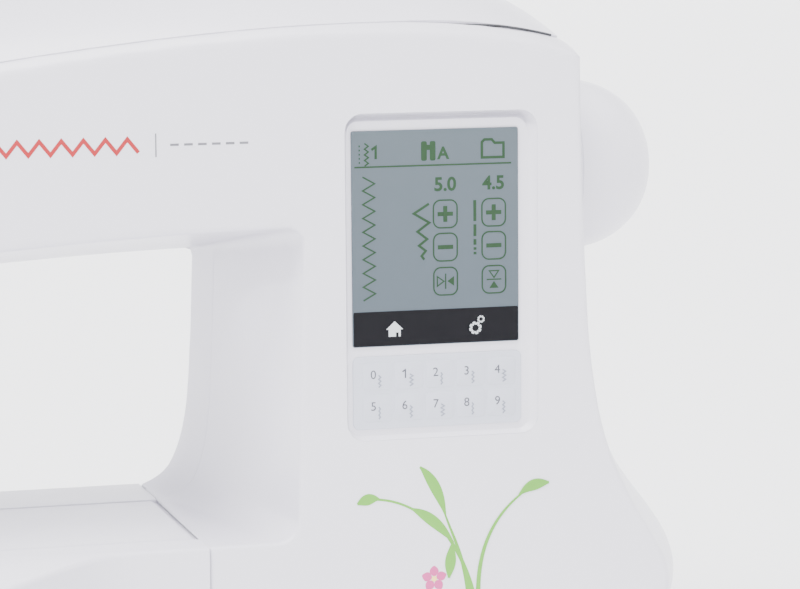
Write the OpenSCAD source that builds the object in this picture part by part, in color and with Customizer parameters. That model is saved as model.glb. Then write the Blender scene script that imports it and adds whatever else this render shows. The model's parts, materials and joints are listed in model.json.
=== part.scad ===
// Free-arm sewing machine with a touch screen, as an assembly of separate pieces.
// +X is the handwheel side, -Y is the side the user sits at, +Z is up, Z = 0 is the table under the feet.

/* [Overall] */
// Half of the overall length, from the middle to either end
half_len = 235; // [225:1:245]
// Half of the overall depth, from the middle to the table's front or back edge
half_depth = 103.5; // [100:0.5:110]
// Wall of the moulded covers
wall = 2.6; // [2:0.1:3]
// Gap between neighbouring pieces that don't touch
gap = 0.4; // [0.3:0.05:0.5]

/* [Arm and pillar] */
// Front face of the arm and the pillar
front_y = -40; // [-42:0.5:-38]
// Back face of the arm and the pillar
back_y = 101; // [99:0.5:102]
// Plane where the front cover meets the rear cover
split_y = 70; // [68:0.5:72]
// Left end of the head's covers
head_x = -222; // [-224:1:-220]
// Side of the head that faces the working space
head_right_x = -105; // [-108:1:-102]
// Underside of the head
head_z = 150; // [148:1:152]
// Underside of the arm beside the pillar, at the front face
ceiling_z = 203; // [200:1:206]
// Drop of the arm's underside from the front face to the back face
ceiling_drop = 22; // [16:1:24]
// Inner side of the pillar at the front face
pillar_x = 61; // [58:1:64]
// Distance that the pillar's inner side moves left from the front face to the back face
pillar_shift = 20; // [14:1:22]

/* [Bed] */
// Height of the sewing surface
bed_z = 80; // [78:1:82]
// Plane where the extension table meets the base
seam_x = 22; // [20:1:26]
// Front side of the free arm
arm_y0 = -22; // [-23:0.5:-21]
// Back side of the free arm
arm_y1 = 64; // [63:0.5:65]
// Underside of the free arm
arm_z0 = 26; // [25:0.5:27]

/* [Upper shaft] */
// Distance of both long shafts from the middle plane
shaft_y = 25; // [24:0.5:26]
// Height of the upper shaft
shaft_z = 218.5; // [217:0.5:220]
// Radius of the upper shaft
shaft_r = 5; // [4.5:0.5:5.5]
// Radius of the handwheel
wheel_r = 35; // [30:1:36]
// Radius of the crank, half of the needle's stroke
crank_r = 16; // [14:0.5:17]

/* [Needle] */
// Place of the needle along the machine
needle_x = -158; // [-159:0.5:-157]
// Radius of the needle bar
bar_r = 3.3; // [3:0.1:3.5]
// Distance from the needle bar back to the presser bar
presser_gap = 14; // [13.5:0.5:15]
// Radius of the presser bar
presser_r = 3.2; // [3:0.1:3.4]

/* [Hook and bobbin] */
// Height of the lower shaft
lower_z = 43; // [42:0.5:44]
// Radius of the lower shaft
lower_r = 4; // [3.5:0.5:4.5]
// Outer radius of the rotary hook
hook_r = 18; // [17:0.5:18]
// Radius of the bobbin
bobbin_r = 10.2; // [10:0.1:10.4]

/* [Screen] */
// Left and right edges of the touch screen
screen_x = [80.3, 147.7]; // [70:0.1:160]
// Lower and upper edges of the touch screen
screen_z = [155, 239.3]; // [110:0.1:250]
// Lower and upper edges of the keypad
keypad_z = [122.5, 151.2]; // [110:0.1:160]

/* [Hidden] */
$fn = 48;
// A cut runs this far past the face that it opens
past = 1;
// Radial clearance of a shaft that runs in a bore
fit = 0.05;
// Number of straight steps in one curve of an outline
steps = 12;

// ---- points and outlines ----

// Points along a cubic curve from a to d, without its last point
function curve(a, b, c, d, n = steps) =
  [for (i = [0:n - 1]) let (t = i / n, u = 1 - t)
    u * u * u * a + 3 * u * u * t * b + 3 * u * t * t * c + t * t * t * d];
// Points on an arc round c from angle a0 to a1
function arc(c, r, a0, a1, n = 6) =
  [for (i = [0:n]) let (a = a0 + (a1 - a0) * i / n) c + r * [cos(a), sin(a)]];
// Counter-clockwise rectangle with round corners
function round_box(x, y, r) = concat(
  arc([x[1] - r, y[0] + r], r, -90, 0), arc([x[1] - r, y[1] - r], r, 0, 90),
  arc([x[0] + r, y[1] - r], r, 90, 180), arc([x[0] + r, y[0] + r], r, 180, 270));
// Counter-clockwise outline round two circles at a and b
function capsule(a, ra, b, rb) =
  let (d = norm(b - a), dir = atan2(b[1] - a[1], b[0] - a[0]), lean = acos((ra - rb) / d))
  concat(arc(b, rb, dir - lean, dir + lean, 2 * steps),
    arc(a, ra, dir + lean, dir + 360 - lean, 2 * steps));
function left_of(v) = [-v[1], v[0]] / norm(v);
// A counter-clockwise outline moved inwards by d, or outwards when d is negative
function inset(pts, d) = let (n = len(pts)) [for (i = [0:n - 1])
  let (p = left_of(pts[i] - pts[(i + n - 1) % n]), q = left_of(pts[(i + 1) % n] - pts[i]),
    m = (p + q) / norm(p + q))
  pts[i] + m * d / max(m * p, 0.5)];

module box(x, y, z)
  translate([x[0], y[0], z[0]]) cube([x[1] - x[0], y[1] - y[0], z[1] - z[0]]);
// Outline in X and Z, drawn out along Y
module side_slab(pts, y)
  translate([0, y[1], 0]) rotate([90, 0, 0]) linear_extrude(y[1] - y[0]) polygon(pts);
// Outline in Y and Z, drawn out along X
module end_slab(pts, x)
  translate([x[0], 0, 0]) rotate([90, 0, 90]) linear_extrude(x[1] - x[0]) polygon(pts);
// Outline in X and Y, drawn out along Z
module plan_slab(pts, z)
  translate([0, 0, z[0]]) linear_extrude(z[1] - z[0]) polygon(pts);
module x_rod(r, x, y, z) translate([x[0], y, z]) rotate([0, 90, 0]) cylinder(r = r, h = x[1] - x[0]);
module y_rod(r, y, x, z) translate([x, y[0], z]) rotate([-90, 0, 0]) cylinder(r = r, h = y[1] - y[0]);
module z_rod(r, z, x, y) translate([x, y, z[0]]) cylinder(r = r, h = z[1] - z[0]);
module x_tube(r, bore, x, y, z) difference() {
  x_rod(r, x, y, z);
  x_rod(bore, [x[0] - past, x[1] + past], y, z);
}
module z_tube(r, bore, z, x, y) difference() {
  z_rod(r, z, x, y);
  z_rod(bore, [z[0] - past, z[1] + past], x, y);
}

// ---- shared places ----

pan_z = [6, 12];
front_in = front_y + wall;
back_in = back_y - wall;
shoulder_left = [head_x + 12, 238.5];
shoulder_right = [174, 266.5];
function shoulder(n) = curve(shoulder_right, [89, 294], [-100, 258], shoulder_left, n);
side_x = 178.5;
flare_low = [214, pan_z[1]];
flare_waist = [229.4, 37];
flare_knee = [226, 72];
// Outline of the whole machine from the front, with the working space still filled
block_side = concat([[head_x, pan_z[1]]],
  curve(flare_low, [221, pan_z[1] + 1], [226, 29], flare_waist, 6),
  curve(flare_waist, [half_len + 4.5, 50], [half_len, 60], flare_knee),
  curve(flare_knee, [206, 103], [181, 140], [side_x, 190]),
  [[side_x, 190], [side_x - 1, 252]], shoulder(24), arc(shoulder_left - [0, 12], 12, 90, 180));
// Plan of the covers: the foot of the right side bows out behind the front face
bow = [62, 65];
rear_bow = [42, 42];
block_plan = concat(
  [for (i = [0:steps]) let (a = -90 + 90 * i / steps)
    [half_len + 1 - bow[0] + bow[0] * cos(a), front_y + bow[1] + bow[1] * sin(a)]],
  [for (i = [0:steps]) let (a = 90 * i / steps)
    [half_len + 1 - rear_bow[0] + rear_bow[0] * cos(a), back_y - rear_bow[1] + rear_bow[1] * sin(a)]],
  arc([head_x + 8, back_y - 8], 8, 90, 180), arc([head_x + 8, front_y + 8], 8, 180, 270));

// The working space and all that lies under the head, grown by a wall on all sides. From the front
// face to the back face the underside of the arm drops and the pillar's side moves to the left.
module working_space(grow) {
  reach = 6;
  y = [front_y - reach, back_y + reach];
  slope = [for (v = y) (v - front_y) / (back_y - front_y)];
  ceil = [for (s = slope) ceiling_z - ceiling_drop * s + grow];
  side = [for (s = slope) pillar_x - pillar_shift * s + grow];
  floor_z = bed_z - grow;
  left = head_right_x - grow;
  intersection() {
    end_slab([[y[0], floor_z], [y[1], floor_z], [y[1], ceil[1]], [y[0], ceil[0]]], [left, side[0] + past]);
    plan_slab([[left, y[0]], [side[0], y[0]], [side[1], y[1]], [left, y[1]]], [0, half_len * 2]);
  }
  box([head_x - 40, head_right_x + past], y, [0, head_z + grow]);
  box([head_x - 40, seam_x + grow], y, [0, bed_z + past]);
}
// Hollow casing between two planes, open where it meets its other half
module casing(y, hollow_y) difference() {
  intersection() {
    side_slab(block_side, y);
    plan_slab(block_plan, [0, half_len * 2]);
  }
  working_space(0);
  difference() {
    intersection() {
      side_slab(inset(block_side, wall), hollow_y);
      plan_slab(inset(block_plan, wall), [0, half_len * 2]);
    }
    working_space(wall);
  }
  box([seam_x + past, flare_low[0] - wall], [max(y[0], front_in), min(y[1], back_in)], [0, pan_z[1] + wall]);
  box([tray_x[0], tray_x[1]], [tray_y[0], tray_y[1]], [240, half_len * 2]);
}

tray_x = [-100, 160];
tray_y = [-22, 80];
tray_z = 253;
tray_wall = 2;
rim_z = 266;
screen_mid = (screen_x[0] + screen_x[1]) / 2;
panel_x = [77.5, 155];
panel_z = [118.4, 246];
panel_r = 6;
button_z = 170;
button_face = front_y - 2;
// Buttons: place along the head and radius
start_at = [-198, 8];
reverse_at = [-176, 6];
needle_button_at = [-158, 6];
slider_x = -182;
slider_z = 194;
slider_travel = 14;
dial_at = [-85, 222];
dial_r = 13;
thread_slot_w = 3.8;
take_up_x = -133.5;
guide_slot_x = -112;
thread_slot_z = [182, 243];
take_up_pivot = [5, 200];
hinge_y = 94;
hinge_z = 281;
hinge_x = [-90, 120];
hinge_pin_r = 2;
bracket_half = 12;
ear_half = 5;
lifter_at = [62, 162];
presser_y = shaft_y + presser_gap;
hook_y = shaft_y - hook_r - 1;
switch_at = [148, 45];
inlet_at = [185, 45];
socket_at = [109, 44];
drop_slot_x = [30, 60];
drop_slot_z = 58;
frame_y = [54, 60];
motor_z = 120;
motor_r = 26;
belt_x = [160, 170];
motor_x = [92, 148];
motor_neck = 4;
wheel_pulley_r = 28;
motor_pulley_r = 7;
belt_gap = 0.5;
belt_t = 1.6;
timing_x = [76, 86];
timing_r = 15;
gear_big_r = 12.6;
gear_small_r = 6.1;
screw_at = [[-205, 172], [-205, 222], [-20, 236], [163, 238], [190, 72], [62, 40], [60, 150]];

// ---- base ----

module base_pan() color("gainsboro") {
  plan_slab(round_box([head_x + 7, seam_x + 20], [arm_y0 + 4, arm_y1 - 4], 10), pan_z);
  intersection() {
    plan_slab(inset(block_plan, 6), pan_z);
    box([seam_x + 2, flare_low[0] - 4], [front_y, back_y], pan_z);
  }
}

module rubber_feet() color("dimgray") {
  foot_r = 9;
  for (p = [[-200, -6], [-200, 48], [-90, 20], [44, -24], [44, 82], [192, -18], [192, 80]])
    z_rod(foot_r, [0, pan_z[0]], p[0], p[1]);
}

// ---- covers ----

module front_cover() color("whitesmoke") difference() {
  casing([front_y, split_y], [front_in, split_y + past]);
  // Recess for the screen and the keypad
  side_slab(round_box(panel_x, panel_z, panel_r), [front_y - past, front_in + past]);
  // Opening for the handwheel's hub
  x_rod(13, [side_x - 12, side_x + 12], shaft_y, shaft_z);
  // Way through for the free arm's frame and shaft
  box([seam_x - past, seam_x + wall + past], [arm_y0 + 3, arm_y1 - 3], [arm_z0 + 3, bed_z - 3]);
  // Opening under the head for the needle and presser bars
  box([-192, -134], [2, 62], [head_z - past, head_z + wall + past]);
  x_rod(3.6, [head_right_x - 4, head_right_x + past], lifter_at[0], lifter_at[1]);
  for (x = [take_up_x, guide_slot_x])
    box([x - thread_slot_w / 2, x + thread_slot_w / 2], [front_y - past, front_in + past], thread_slot_z);
  for (b = [start_at, reverse_at, needle_button_at])
    y_rod(b[1] + gap, [front_y - past, front_in + past], b[0], button_z);
  box([slider_x - slider_travel - 5, slider_x + slider_travel + 5], [front_y - past, front_in + past],
    [slider_z - 1.95, slider_z + 1.95]);
  y_rod(dial_r + gap, [front_y - past, front_in + past], dial_at[0], dial_at[1]);
}

module rear_cover() color("whitesmoke") {
  face = [back_in - past, back_y + past];
  difference() {
    casing([split_y + 0.1, back_y], [split_y - past, back_in]);
    for (s = screw_at) y_rod(2.1, face, s[0], s[1]);
    box([inlet_at[0] - 14, inlet_at[0] + 14], face, [inlet_at[1] - 11, inlet_at[1] + 11]);
    box([switch_at[0] - 8, switch_at[0] + 8], face, [switch_at[1] - 11, switch_at[1] + 11]);
    box([socket_at[0] - 9, socket_at[0] + 9], face, [socket_at[1] - 8, socket_at[1] + 8]);
    box(drop_slot_x, face, [drop_slot_z - 1.95, drop_slot_z + 1.95]);
  }
  // Two pairs of ears that hold the lid's hinge pins
  for (h = hinge_x, side = [-1, 1]) {
    inner = h + side * (ear_half + gap);
    outer = h + side * bracket_half;
    difference() {
      box([min(inner, outer), max(inner, outer)], [hinge_y - 4, hinge_y + 4], [254, hinge_z + 4]);
      x_rod(hinge_pin_r, [h - bracket_half - past, h + bracket_half + past], hinge_y, hinge_z);
    }
  }
}

module cover_screws() color("silver") for (s = screw_at) {
  y_rod(2, [split_y + 8, back_y], s[0], s[1]);
  difference() {
    y_rod(4, [back_y, back_y + 1.8], s[0], s[1]);
    for (turn = [0, 90]) translate([s[0], back_y + 1.8, s[1]]) rotate([0, turn, 0])
      cube([5, 1.8, 1], center = true);
  }
}

module face_cover() color("whitesmoke")
  end_slab(round_box([front_y + 5, back_y - 5], [head_z + 4, 231], 10), [head_x - 7, head_x - gap]);

module free_arm_shell() color("whitesmoke") {
  outer = round_box([head_x, seam_x - gap], [arm_y0, arm_y1], 12);
  difference() {
    plan_slab(outer, [arm_z0, bed_z]);
    plan_slab(inset(outer, wall), [arm_z0 + wall, bed_z - wall]);
    box([seam_x - 16, seam_x + past], [arm_y0 + wall, arm_y1 - wall], [arm_z0 + wall, bed_z - wall]);
    // Openings in the top over the hook and over the feed
    box([needle_x - 17, needle_x + 17], [-17, 15], [bed_z - wall - past, bed_z + past]);
    box([needle_x - 32, needle_x + 32], [14, 58], [bed_z - wall - past, bed_z + past]);
  }
}

module extension_table() color("whitesmoke") {
  // The front edge runs straight as far as the first of these, and is at its full depth at the second
  swell_x = [-8, -88];
  corner = 34;
  back_corner = 20;
  left = -half_len;
  right = seam_x - gap / 2;
  swell = [for (i = [0:steps]) let (t = i / steps, s = t * t * (3 - 2 * t))
    [swell_x[0] + (swell_x[1] - swell_x[0]) * t, front_y - 1 - (half_depth + front_y - 1) * s]];
  plan = concat([for (i = [steps:-1:0]) swell[i]],
    [[right, front_y - 1], [right, half_depth]], arc([left + back_corner, half_depth - back_corner], back_corner, 90, 180),
    arc([left + corner, corner - half_depth], corner, 180, 270));
  pocket_x = [head_x - 0.6, half_len];
  pocket_y = [arm_y0 - 0.6, arm_y1 + 0.6];
  z = [8, bed_z];
  difference() {
    plan_slab(plan, z);
    box(pocket_x, pocket_y, [0, bed_z + past]);
    difference() {
      plan_slab(inset(plan, wall), [z[0] + wall, z[1] - wall]);
      box([pocket_x[0] - wall, pocket_x[1]], [pocket_y[0] - wall, pocket_y[1] + wall], [0, bed_z + past]);
    }
  }
}

// ---- top ----

module spool_tray() color("gainsboro") {
  x = [tray_x[0] + 0.2, tray_x[1] - 0.2];
  y = [tray_y[0] + 0.2, tray_y[1] - 0.2];
  difference() {
    box(x, y, [tray_z, rim_z]);
    box([x[0] + tray_wall, x[1] - tray_wall], [y[0] + tray_wall, y[1] - tray_wall], [tray_z + 2, rim_z + past]);
  }
  // Post that carries the spool pin, and the stop that ends the winding
  difference() {
    box([spool_x[1] - 4, spool_x[1]], [spool_y - 7, spool_y + 7], [tray_z + 1, spool_z + 6]);
    x_rod(spool_pin_r, [spool_x[1] - 6, spool_x[1] + past], spool_y, spool_z);
  }
  z_rod(6.5, [tray_z + 1, 270], winder_at[0] + 25, winder_at[1]);
  // Stud that the bobbin winder's lever turns on
  z_rod(winder_stud_r, [tray_z + 1, winder_z + 5], winder_pivot[0], winder_pivot[1]);
}
spool_x = [-58, 24];
spool_y = 52;
spool_z = 272;
spool_pin_r = 2.5;
winder_at = [118, 8];
winder_pivot = [118, 40];
winder_z = tray_z + 2 + gap;
winder_stud_r = 3;

module top_lid() color("white") {
  y = [-34, hinge_y + 1.4];
  lift = 1.2;
  lid_left = [head_x, 246];
  lid_right = [173, 273];
  // The lower edge follows the covers' shoulder from left to right
  foot = [for (i = [0:24]) shoulder(25)[24 - i] + [0, lift]];
  outline = concat([[head_x, shoulder_left[1] + lift - 2]], foot, lid_crown(lid_left, lid_right, 0), [lid_left]);
  in_left = lid_left + [wall, -wall];
  in_right = lid_right - [wall + 2, wall];
  hollow = concat([[in_left[0], 200], [in_right[0], 200]], lid_crown(in_left, in_right, wall), [in_left]);
  difference() {
    side_slab(outline, y);
    side_slab(hollow, [y[0] + wall, y[1] - wall]);
    for (h = hinge_x) box([h - bracket_half - 1, h + bracket_half + 1], [hinge_y - 5, back_y], [240, hinge_z + 6]);
  }
  for (h = hinge_x) difference() {
    union() {
      x_rod(4, [h - ear_half, h + ear_half], hinge_y, hinge_z);
      box([h - ear_half, h + ear_half], [hinge_y - 4, y[1]], [hinge_z, hinge_z + 8]);
    }
    x_rod(hinge_pin_r + fit, [h - ear_half - past, h + ear_half + past], hinge_y, hinge_z);
  }
}
// The lid's crowned top from right to left, lowered by a wall for its inner face
function lid_crown(left, right, drop) = curve(right, [150, 324 - drop], [-90, 312 - drop], left, 24);

module lid_hinge_pins() color("silver") for (h = hinge_x)
  x_rod(hinge_pin_r, [h - bracket_half, h + bracket_half], hinge_y, hinge_z);

module spool_pin() color("gainsboro") x_rod(spool_pin_r, spool_x, spool_y, spool_z);

module spool_cap() color("gainsboro") {
  cap_x = [-52, -46];
  x_tube(13, spool_pin_r + fit, cap_x, spool_y, spool_z);
}

module winder_lever() color("gainsboro") difference() {
  plan_slab(capsule(winder_pivot, 10, winder_at, 10), [winder_z, winder_z + 3]);
  z_rod(2 + fit, [winder_z - past, winder_z + 4], winder_at[0], winder_at[1]);
  z_rod(winder_stud_r + fit, [winder_z - past, winder_z + 4], winder_pivot[0], winder_pivot[1]);
}

module winder_spindle() color("silver") {
  foot_z = winder_z + 3 + gap;
  z_rod(2, [winder_z + 0.4, foot_z + past], winder_at[0], winder_at[1]);
  z_rod(7, [foot_z, foot_z + 1.6], winder_at[0], winder_at[1]);
  z_rod(3, [foot_z, 284], winder_at[0], winder_at[1]);
}

// ---- front controls ----

module panel_frame() color("white")
  side_slab(round_box([panel_x[0] - 2, panel_x[1] + 2], [panel_z[0] - 2, panel_z[1] + 2], panel_r),
    [front_in, front_in + 2]);

module lcd_screen() color([0.6, 0.66, 0.67]) box(screen_x, [front_in - 1, front_in], screen_z);

module keypad() color([0.86, 0.88, 0.9])
  side_slab(round_box([screen_x[0], screen_x[1] + 1], keypad_z, 2.5), [front_in - 0.7, front_in]);

module control_board() color("darkgreen") {
  board_y = front_in + 4;
  box([panel_x[0] + 2, panel_x[1] - 2], [board_y, board_y + 1.6], [panel_z[0] + 2, panel_z[1] - 2]);
  // Memory, processor and motor driver
  for (c = [[screen_mid - 12, 215, 9], [screen_mid + 14, 190, 12], [screen_mid, 150, 14]])
    box([c[0] - c[2], c[0] + c[2]], [board_y + 1.6, board_y + 4], [c[1] - c[2], c[1] + c[2]]);
}

// Button with a collar behind the cover that keeps it in
module round_button(at) {
  y_rod(at[1], [button_face, front_in + 3], at[0], button_z);
  y_rod(at[1] + 1.4, [front_in + gap, front_in + 2], at[0], button_z);
}
module start_button() color("yellowgreen") round_button(start_at);
module reverse_button() color("gainsboro") round_button(reverse_at);
module needle_button() color("gainsboro") round_button(needle_button_at);

module speed_slider() color("gainsboro") {
  box([slider_x - 6, slider_x + 6], [front_y - 3.4, front_y - gap], [slider_z - 5, slider_z + 5]);
  box([slider_x - 4, slider_x + 4], [front_y - 2, front_in + 2], [slider_z - 1.5, slider_z + 1.5]);
  box([slider_x - 5, slider_x + 5], [front_in + gap, front_in + 2], [slider_z - 4, slider_z + 4]);
}

module tension_dial() color("gainsboro") {
  y_rod(dial_r, [front_y - 3, front_in + 3], dial_at[0], dial_at[1]);
  y_rod(3, [front_in, front_in + 26], dial_at[0], dial_at[1]);
  for (y = [10, 13, 16]) y_rod(9, [front_in + y, front_in + y + 1], dial_at[0], dial_at[1]);
}

// ---- frame ----

module arm_frame() color("silver") {
  head_plate = [head_x + 8, -115];
  pillar_plate = [68, 152];
  beam_z = [196, 232];
  low_z = [30, 42];
  difference() {
    union() {
      box([head_plate[0], pillar_plate[1]], frame_y, beam_z);
      box(head_plate, frame_y, [158, beam_z[1]]);
      box(pillar_plate, frame_y, [pan_z[1], beam_z[1]]);
      box([head_x + 14, pillar_plate[0]], frame_y, low_z);
      // Arms that reach forward to the shafts' bearings
      for (x = upper_bush_x) box([x, x + bush_len], [shaft_y - 10, frame_y[0]], [shaft_z - 10, shaft_z + 10]);
      for (x = lower_bush_x) box([x, x + bush_len], [shaft_y - 9, frame_y[0]], [lower_z - 9, lower_z + 9]);
      // Guides for the presser bar
      for (z = presser_guide_z)
        box([needle_x - 6, needle_x + 6], [presser_y - 6, frame_y[0]], z);
      // Arm with the take-up lever's stud
      box([-130, -124], [take_up_pivot[0] - 5, frame_y[0]], [take_up_pivot[1] - 5, take_up_pivot[1] + 5]);
      x_rod(2.5, [-136, -129], take_up_pivot[0], take_up_pivot[1]);
      y_rod(3, [31, frame_y[0]], needle_x, swing_z);
      // Bracket with the hook's bearing
      box([needle_x - 20, needle_x - 8], [hook_y - 8, frame_y[1]], hook_bearing_z);
      box([needle_x - 20, needle_x - 8], [frame_y[0] - 6, frame_y[1]], [low_z[0], hook_bearing_z[1]]);
      box([needle_x - 20, needle_x], [hook_y - 5, hook_y + 5], hook_bearing_z);
      z_rod(6, hook_bearing_z, needle_x, hook_y);
    }
    for (x = upper_bush_x) x_rod(bush_r + 2, [x - past, x + bush_len + past], shaft_y, shaft_z);
    for (x = lower_bush_x) x_rod(bush_r + 1, [x - past, x + bush_len + past], shaft_y, lower_z);
    for (z = presser_guide_z) z_rod(presser_r + fit, [z[0] - past, z[1] + past], needle_x, presser_y);
    z_rod(hook_shaft_r + fit, [hook_bearing_z[0] - past, hook_bearing_z[1] + past], needle_x, hook_y);
    // Lightening window in the pillar's plate
    box([pillar_plate[0] + 20, pillar_plate[1] - 20], [frame_y[0] - past, frame_y[1] + past], [60, 180]);
  }
}
bush_r = 5;
bush_len = 12;
upper_bush_x = [-120, 140];
lower_bush_x = [-132, 40];
presser_guide_z = [[160, 168], [205, 212]];
swing_z = 230;
hook_bearing_z = [49, 54];
hook_shaft_r = 3;

module shaft_bushes() color("goldenrod") {
  for (x = upper_bush_x) x_tube(bush_r + 2, shaft_r + fit, [x, x + bush_len], shaft_y, shaft_z);
  for (x = lower_bush_x) x_tube(bush_r + 1, lower_r + fit, [x, x + bush_len], shaft_y, lower_z);
}

// ---- drive ----

disc_x = [-145, -138];
wheel_x = [180.5, 221.7];
module handwheel() color("white") {
  rim = 1.5;
  // Power of the dome's outline, a little squarer than an ellipse
  bulge = 2.2;
  dome = wheel_x[1] - wheel_x[0] - rim;
  // Turned profile: a narrow straight rim, then a full dome
  translate([wheel_x[0], shaft_y, shaft_z]) rotate([0, 90, 0]) rotate_extrude() polygon(concat(
    [[0, 0], [wheel_r, 0]],
    [for (i = [0:steps]) let (u = sin(90 * i / steps))
      [wheel_r * pow(1 - pow(u, bulge), 1 / bulge), rim + dome * u]]));
  // Hub and belt pulley inside the cover
  x_rod(11, [belt_x[0] - 1, wheel_x[0]], shaft_y, shaft_z);
  x_rod(wheel_pulley_r, belt_x, shaft_y, shaft_z);
  for (x = [belt_x[0] - 1, belt_x[1]]) x_rod(wheel_pulley_r + 2, [x, x + 1], shaft_y, shaft_z);
}

module upper_shaft() color("silver") x_rod(shaft_r, [disc_x[1], belt_x[0] - 1], shaft_y, shaft_z);

module crank_disc() color("dimgray") {
  x_rod(20, disc_x, shaft_y, shaft_z);
  x_rod(3, [disc_x[0] - 2.5, disc_x[0]], shaft_y, shaft_z + crank_r);
}

module main_motor() color("dimgray") {
  x_rod(motor_r, motor_x, shaft_y, motor_z);
  x_rod(9, [motor_x[1], motor_x[1] + motor_neck], shaft_y, motor_z);
  // Foot that bolts the motor to the frame
  box([motor_x[0] + 8, motor_x[1] - 8], [shaft_y + 20, frame_y[0]], [motor_z - 18, motor_z - 10]);
}

module motor_pulley() color("silver") {
  x_rod(motor_pulley_r, belt_x, shaft_y, motor_z);
  for (x = [belt_x[0] - 1, belt_x[1]]) x_rod(motor_pulley_r + 2, [x, x + 1], shaft_y, motor_z);
  x_rod(2.5, [motor_x[1] + motor_neck + gap, belt_x[0]], shaft_y, motor_z);
}

// Endless belt round two pulleys, one above the other
module belt(x, z_low, r_low, z_high, r_high) {
  low = [shaft_y, z_low];
  high = [shaft_y, z_high];
  difference() {
    end_slab(capsule(high, r_high + belt_gap + belt_t, low, r_low + belt_gap + belt_t), x);
    end_slab(capsule(high, r_high + belt_gap, low, r_low + belt_gap), [x[0] - past, x[1] + past]);
  }
}
module drive_belt() color("black")
  belt([belt_x[0] + 0.5, belt_x[1] - 0.5], motor_z, motor_pulley_r, shaft_z, wheel_pulley_r);
module timing_belt() color("black")
  belt([timing_x[0] + 1.5, timing_x[1] - 1.5], lower_z, timing_r, shaft_z, timing_r);

// Flanged belt pulley on a long shaft
module timing_pulley(r, z) {
  x_tube(timing_r, r, timing_x, shaft_y, z);
  for (x = [timing_x[0] - 1, timing_x[1]]) x_tube(timing_r + 2, r, [x, x + 1], shaft_y, z);
}
module timing_pulley_upper() color("silver") timing_pulley(shaft_r, shaft_z);
module timing_pulley_lower() color("silver") timing_pulley(lower_r, lower_z);

module lower_shaft() color("silver") x_rod(lower_r, [-168, 90], shaft_y, lower_z);

// Toothed wheel as a flat outline
function gear_outline(r, depth, teeth) = [for (i = [0:teeth - 1], k = [0:3])
  let (a = 360 / teeth * (i + [0, 0.2, 0.5, 0.7][k]), rr = k < 2 ? r : r - depth) rr * [cos(a), sin(a)]];

module hook_drive_gear() color("silver") difference() {
  translate([needle_x - 5, shaft_y, lower_z]) rotate([90, 0, 90]) linear_extrude(10)
    polygon(gear_outline(gear_big_r, 1.6, 24));
  x_rod(lower_r, [needle_x - 6, needle_x + 6], shaft_y, lower_z);
}

hook_z = [56.6, 72];
module rotary_hook() color("silver") {
  ring_bore = 15.6;
  z_rod(hook_r, [hook_z[0], hook_z[0] + 2], needle_x, hook_y);
  // The ring is cut away where the thread loop slips off
  difference() {
    z_tube(hook_r, ring_bore, [hook_z[0], hook_z[1]], needle_x, hook_y);
    box([needle_x + 2, needle_x + 9], [hook_y - hook_r - past, hook_y], [hook_z[0] + 6, hook_z[1] + past]);
  }
  z_rod(hook_shaft_r, [36, hook_z[0] + past], needle_x, hook_y);
  translate([needle_x, hook_y, lower_z - 5]) linear_extrude(10) polygon(gear_outline(gear_small_r, 1.5, 12));
}

case_z = 59.2;
module bobbin_case() color("dimgray") {
  z_tube(15.2, 11.2, [case_z, 75], needle_x, hook_y);
  z_rod(15, [case_z, case_z + 1.2], needle_x, hook_y);
  z_rod(2.6, [case_z, 71], needle_x, hook_y);
}

module bobbin() color("lavender") {
  z = [case_z + 1.8, case_z + 13.5];
  flange = 1.2;
  difference() {
    union() {
      z_rod(bobbin_r, [z[0], z[0] + flange], needle_x, hook_y);
      z_rod(bobbin_r, [z[1] - flange, z[1]], needle_x, hook_y);
      z_rod(7.5, z, needle_x, hook_y);
    }
    z_rod(2.9, [z[0] - past, z[1] + past], needle_x, hook_y);
  }
}

// ---- needle plate and feed ----

plate_z = [bed_z, bed_z + 1.2];
cover_x = [needle_x - 22, needle_x + 22];
cover_back = 14;
row_x = [needle_x - 8.5, needle_x + 8.5];
row_half = 2;
row_y = [23, 44];
feed_travel = 2.5;
module needle_plate() color("silver") difference() {
  plan_slab(round_box([needle_x - 38, needle_x + 38], [arm_y0 + 0.5, arm_y1 - 1], 5), plate_z);
  box([cover_x[0], cover_x[1]], [arm_y0 - past, cover_back], [plate_z[0] - past, plate_z[1] + past]);
  for (x = row_x) box([x - row_half - 0.6, x + row_half + 0.6],
    [row_y[0] - feed_travel - 0.6, row_y[1] + feed_travel + 0.6], [plate_z[0] - past, plate_z[1] + past]);
  // Needle slot, wide enough for the zigzag
  box([needle_x - 4.5, needle_x + 4.5], [shaft_y - 1, shaft_y + 1], [plate_z[0] - past, plate_z[1] + past]);
}

module bobbin_cover() color([0.8, 0.85, 0.9, 0.5])
  plan_slab(round_box([cover_x[0] + gap, cover_x[1] - gap], [arm_y0 + 0.5, cover_back - gap], 3),
    [bed_z + 0.1, plate_z[1]]);

module feed_dog() color("silver") {
  tooth = 2;
  for (x = row_x) difference() {
    box([x - row_half, x + row_half], row_y, [76, bed_z + 2.2]);
    for (y = [row_y[0] + tooth:tooth:row_y[1] - tooth]) translate([x, y, bed_z + 2.5])
      rotate([45, 0, 0]) cube([row_half * 3, 0.8, 0.8], center = true);
  }
  box([needle_x - 12, needle_x + 12], [38, 50], [70, 76]);
  box([needle_x + 8, needle_x + 12], [42, 50], [62, 76]);
  box([needle_x + 8, needle_x + 54], [42, 50], [62, 70]);
}

module feed_lift_fork() color("dimgray") box([-116, -106], [38, 52], [54.5, 62 - gap]);

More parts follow.
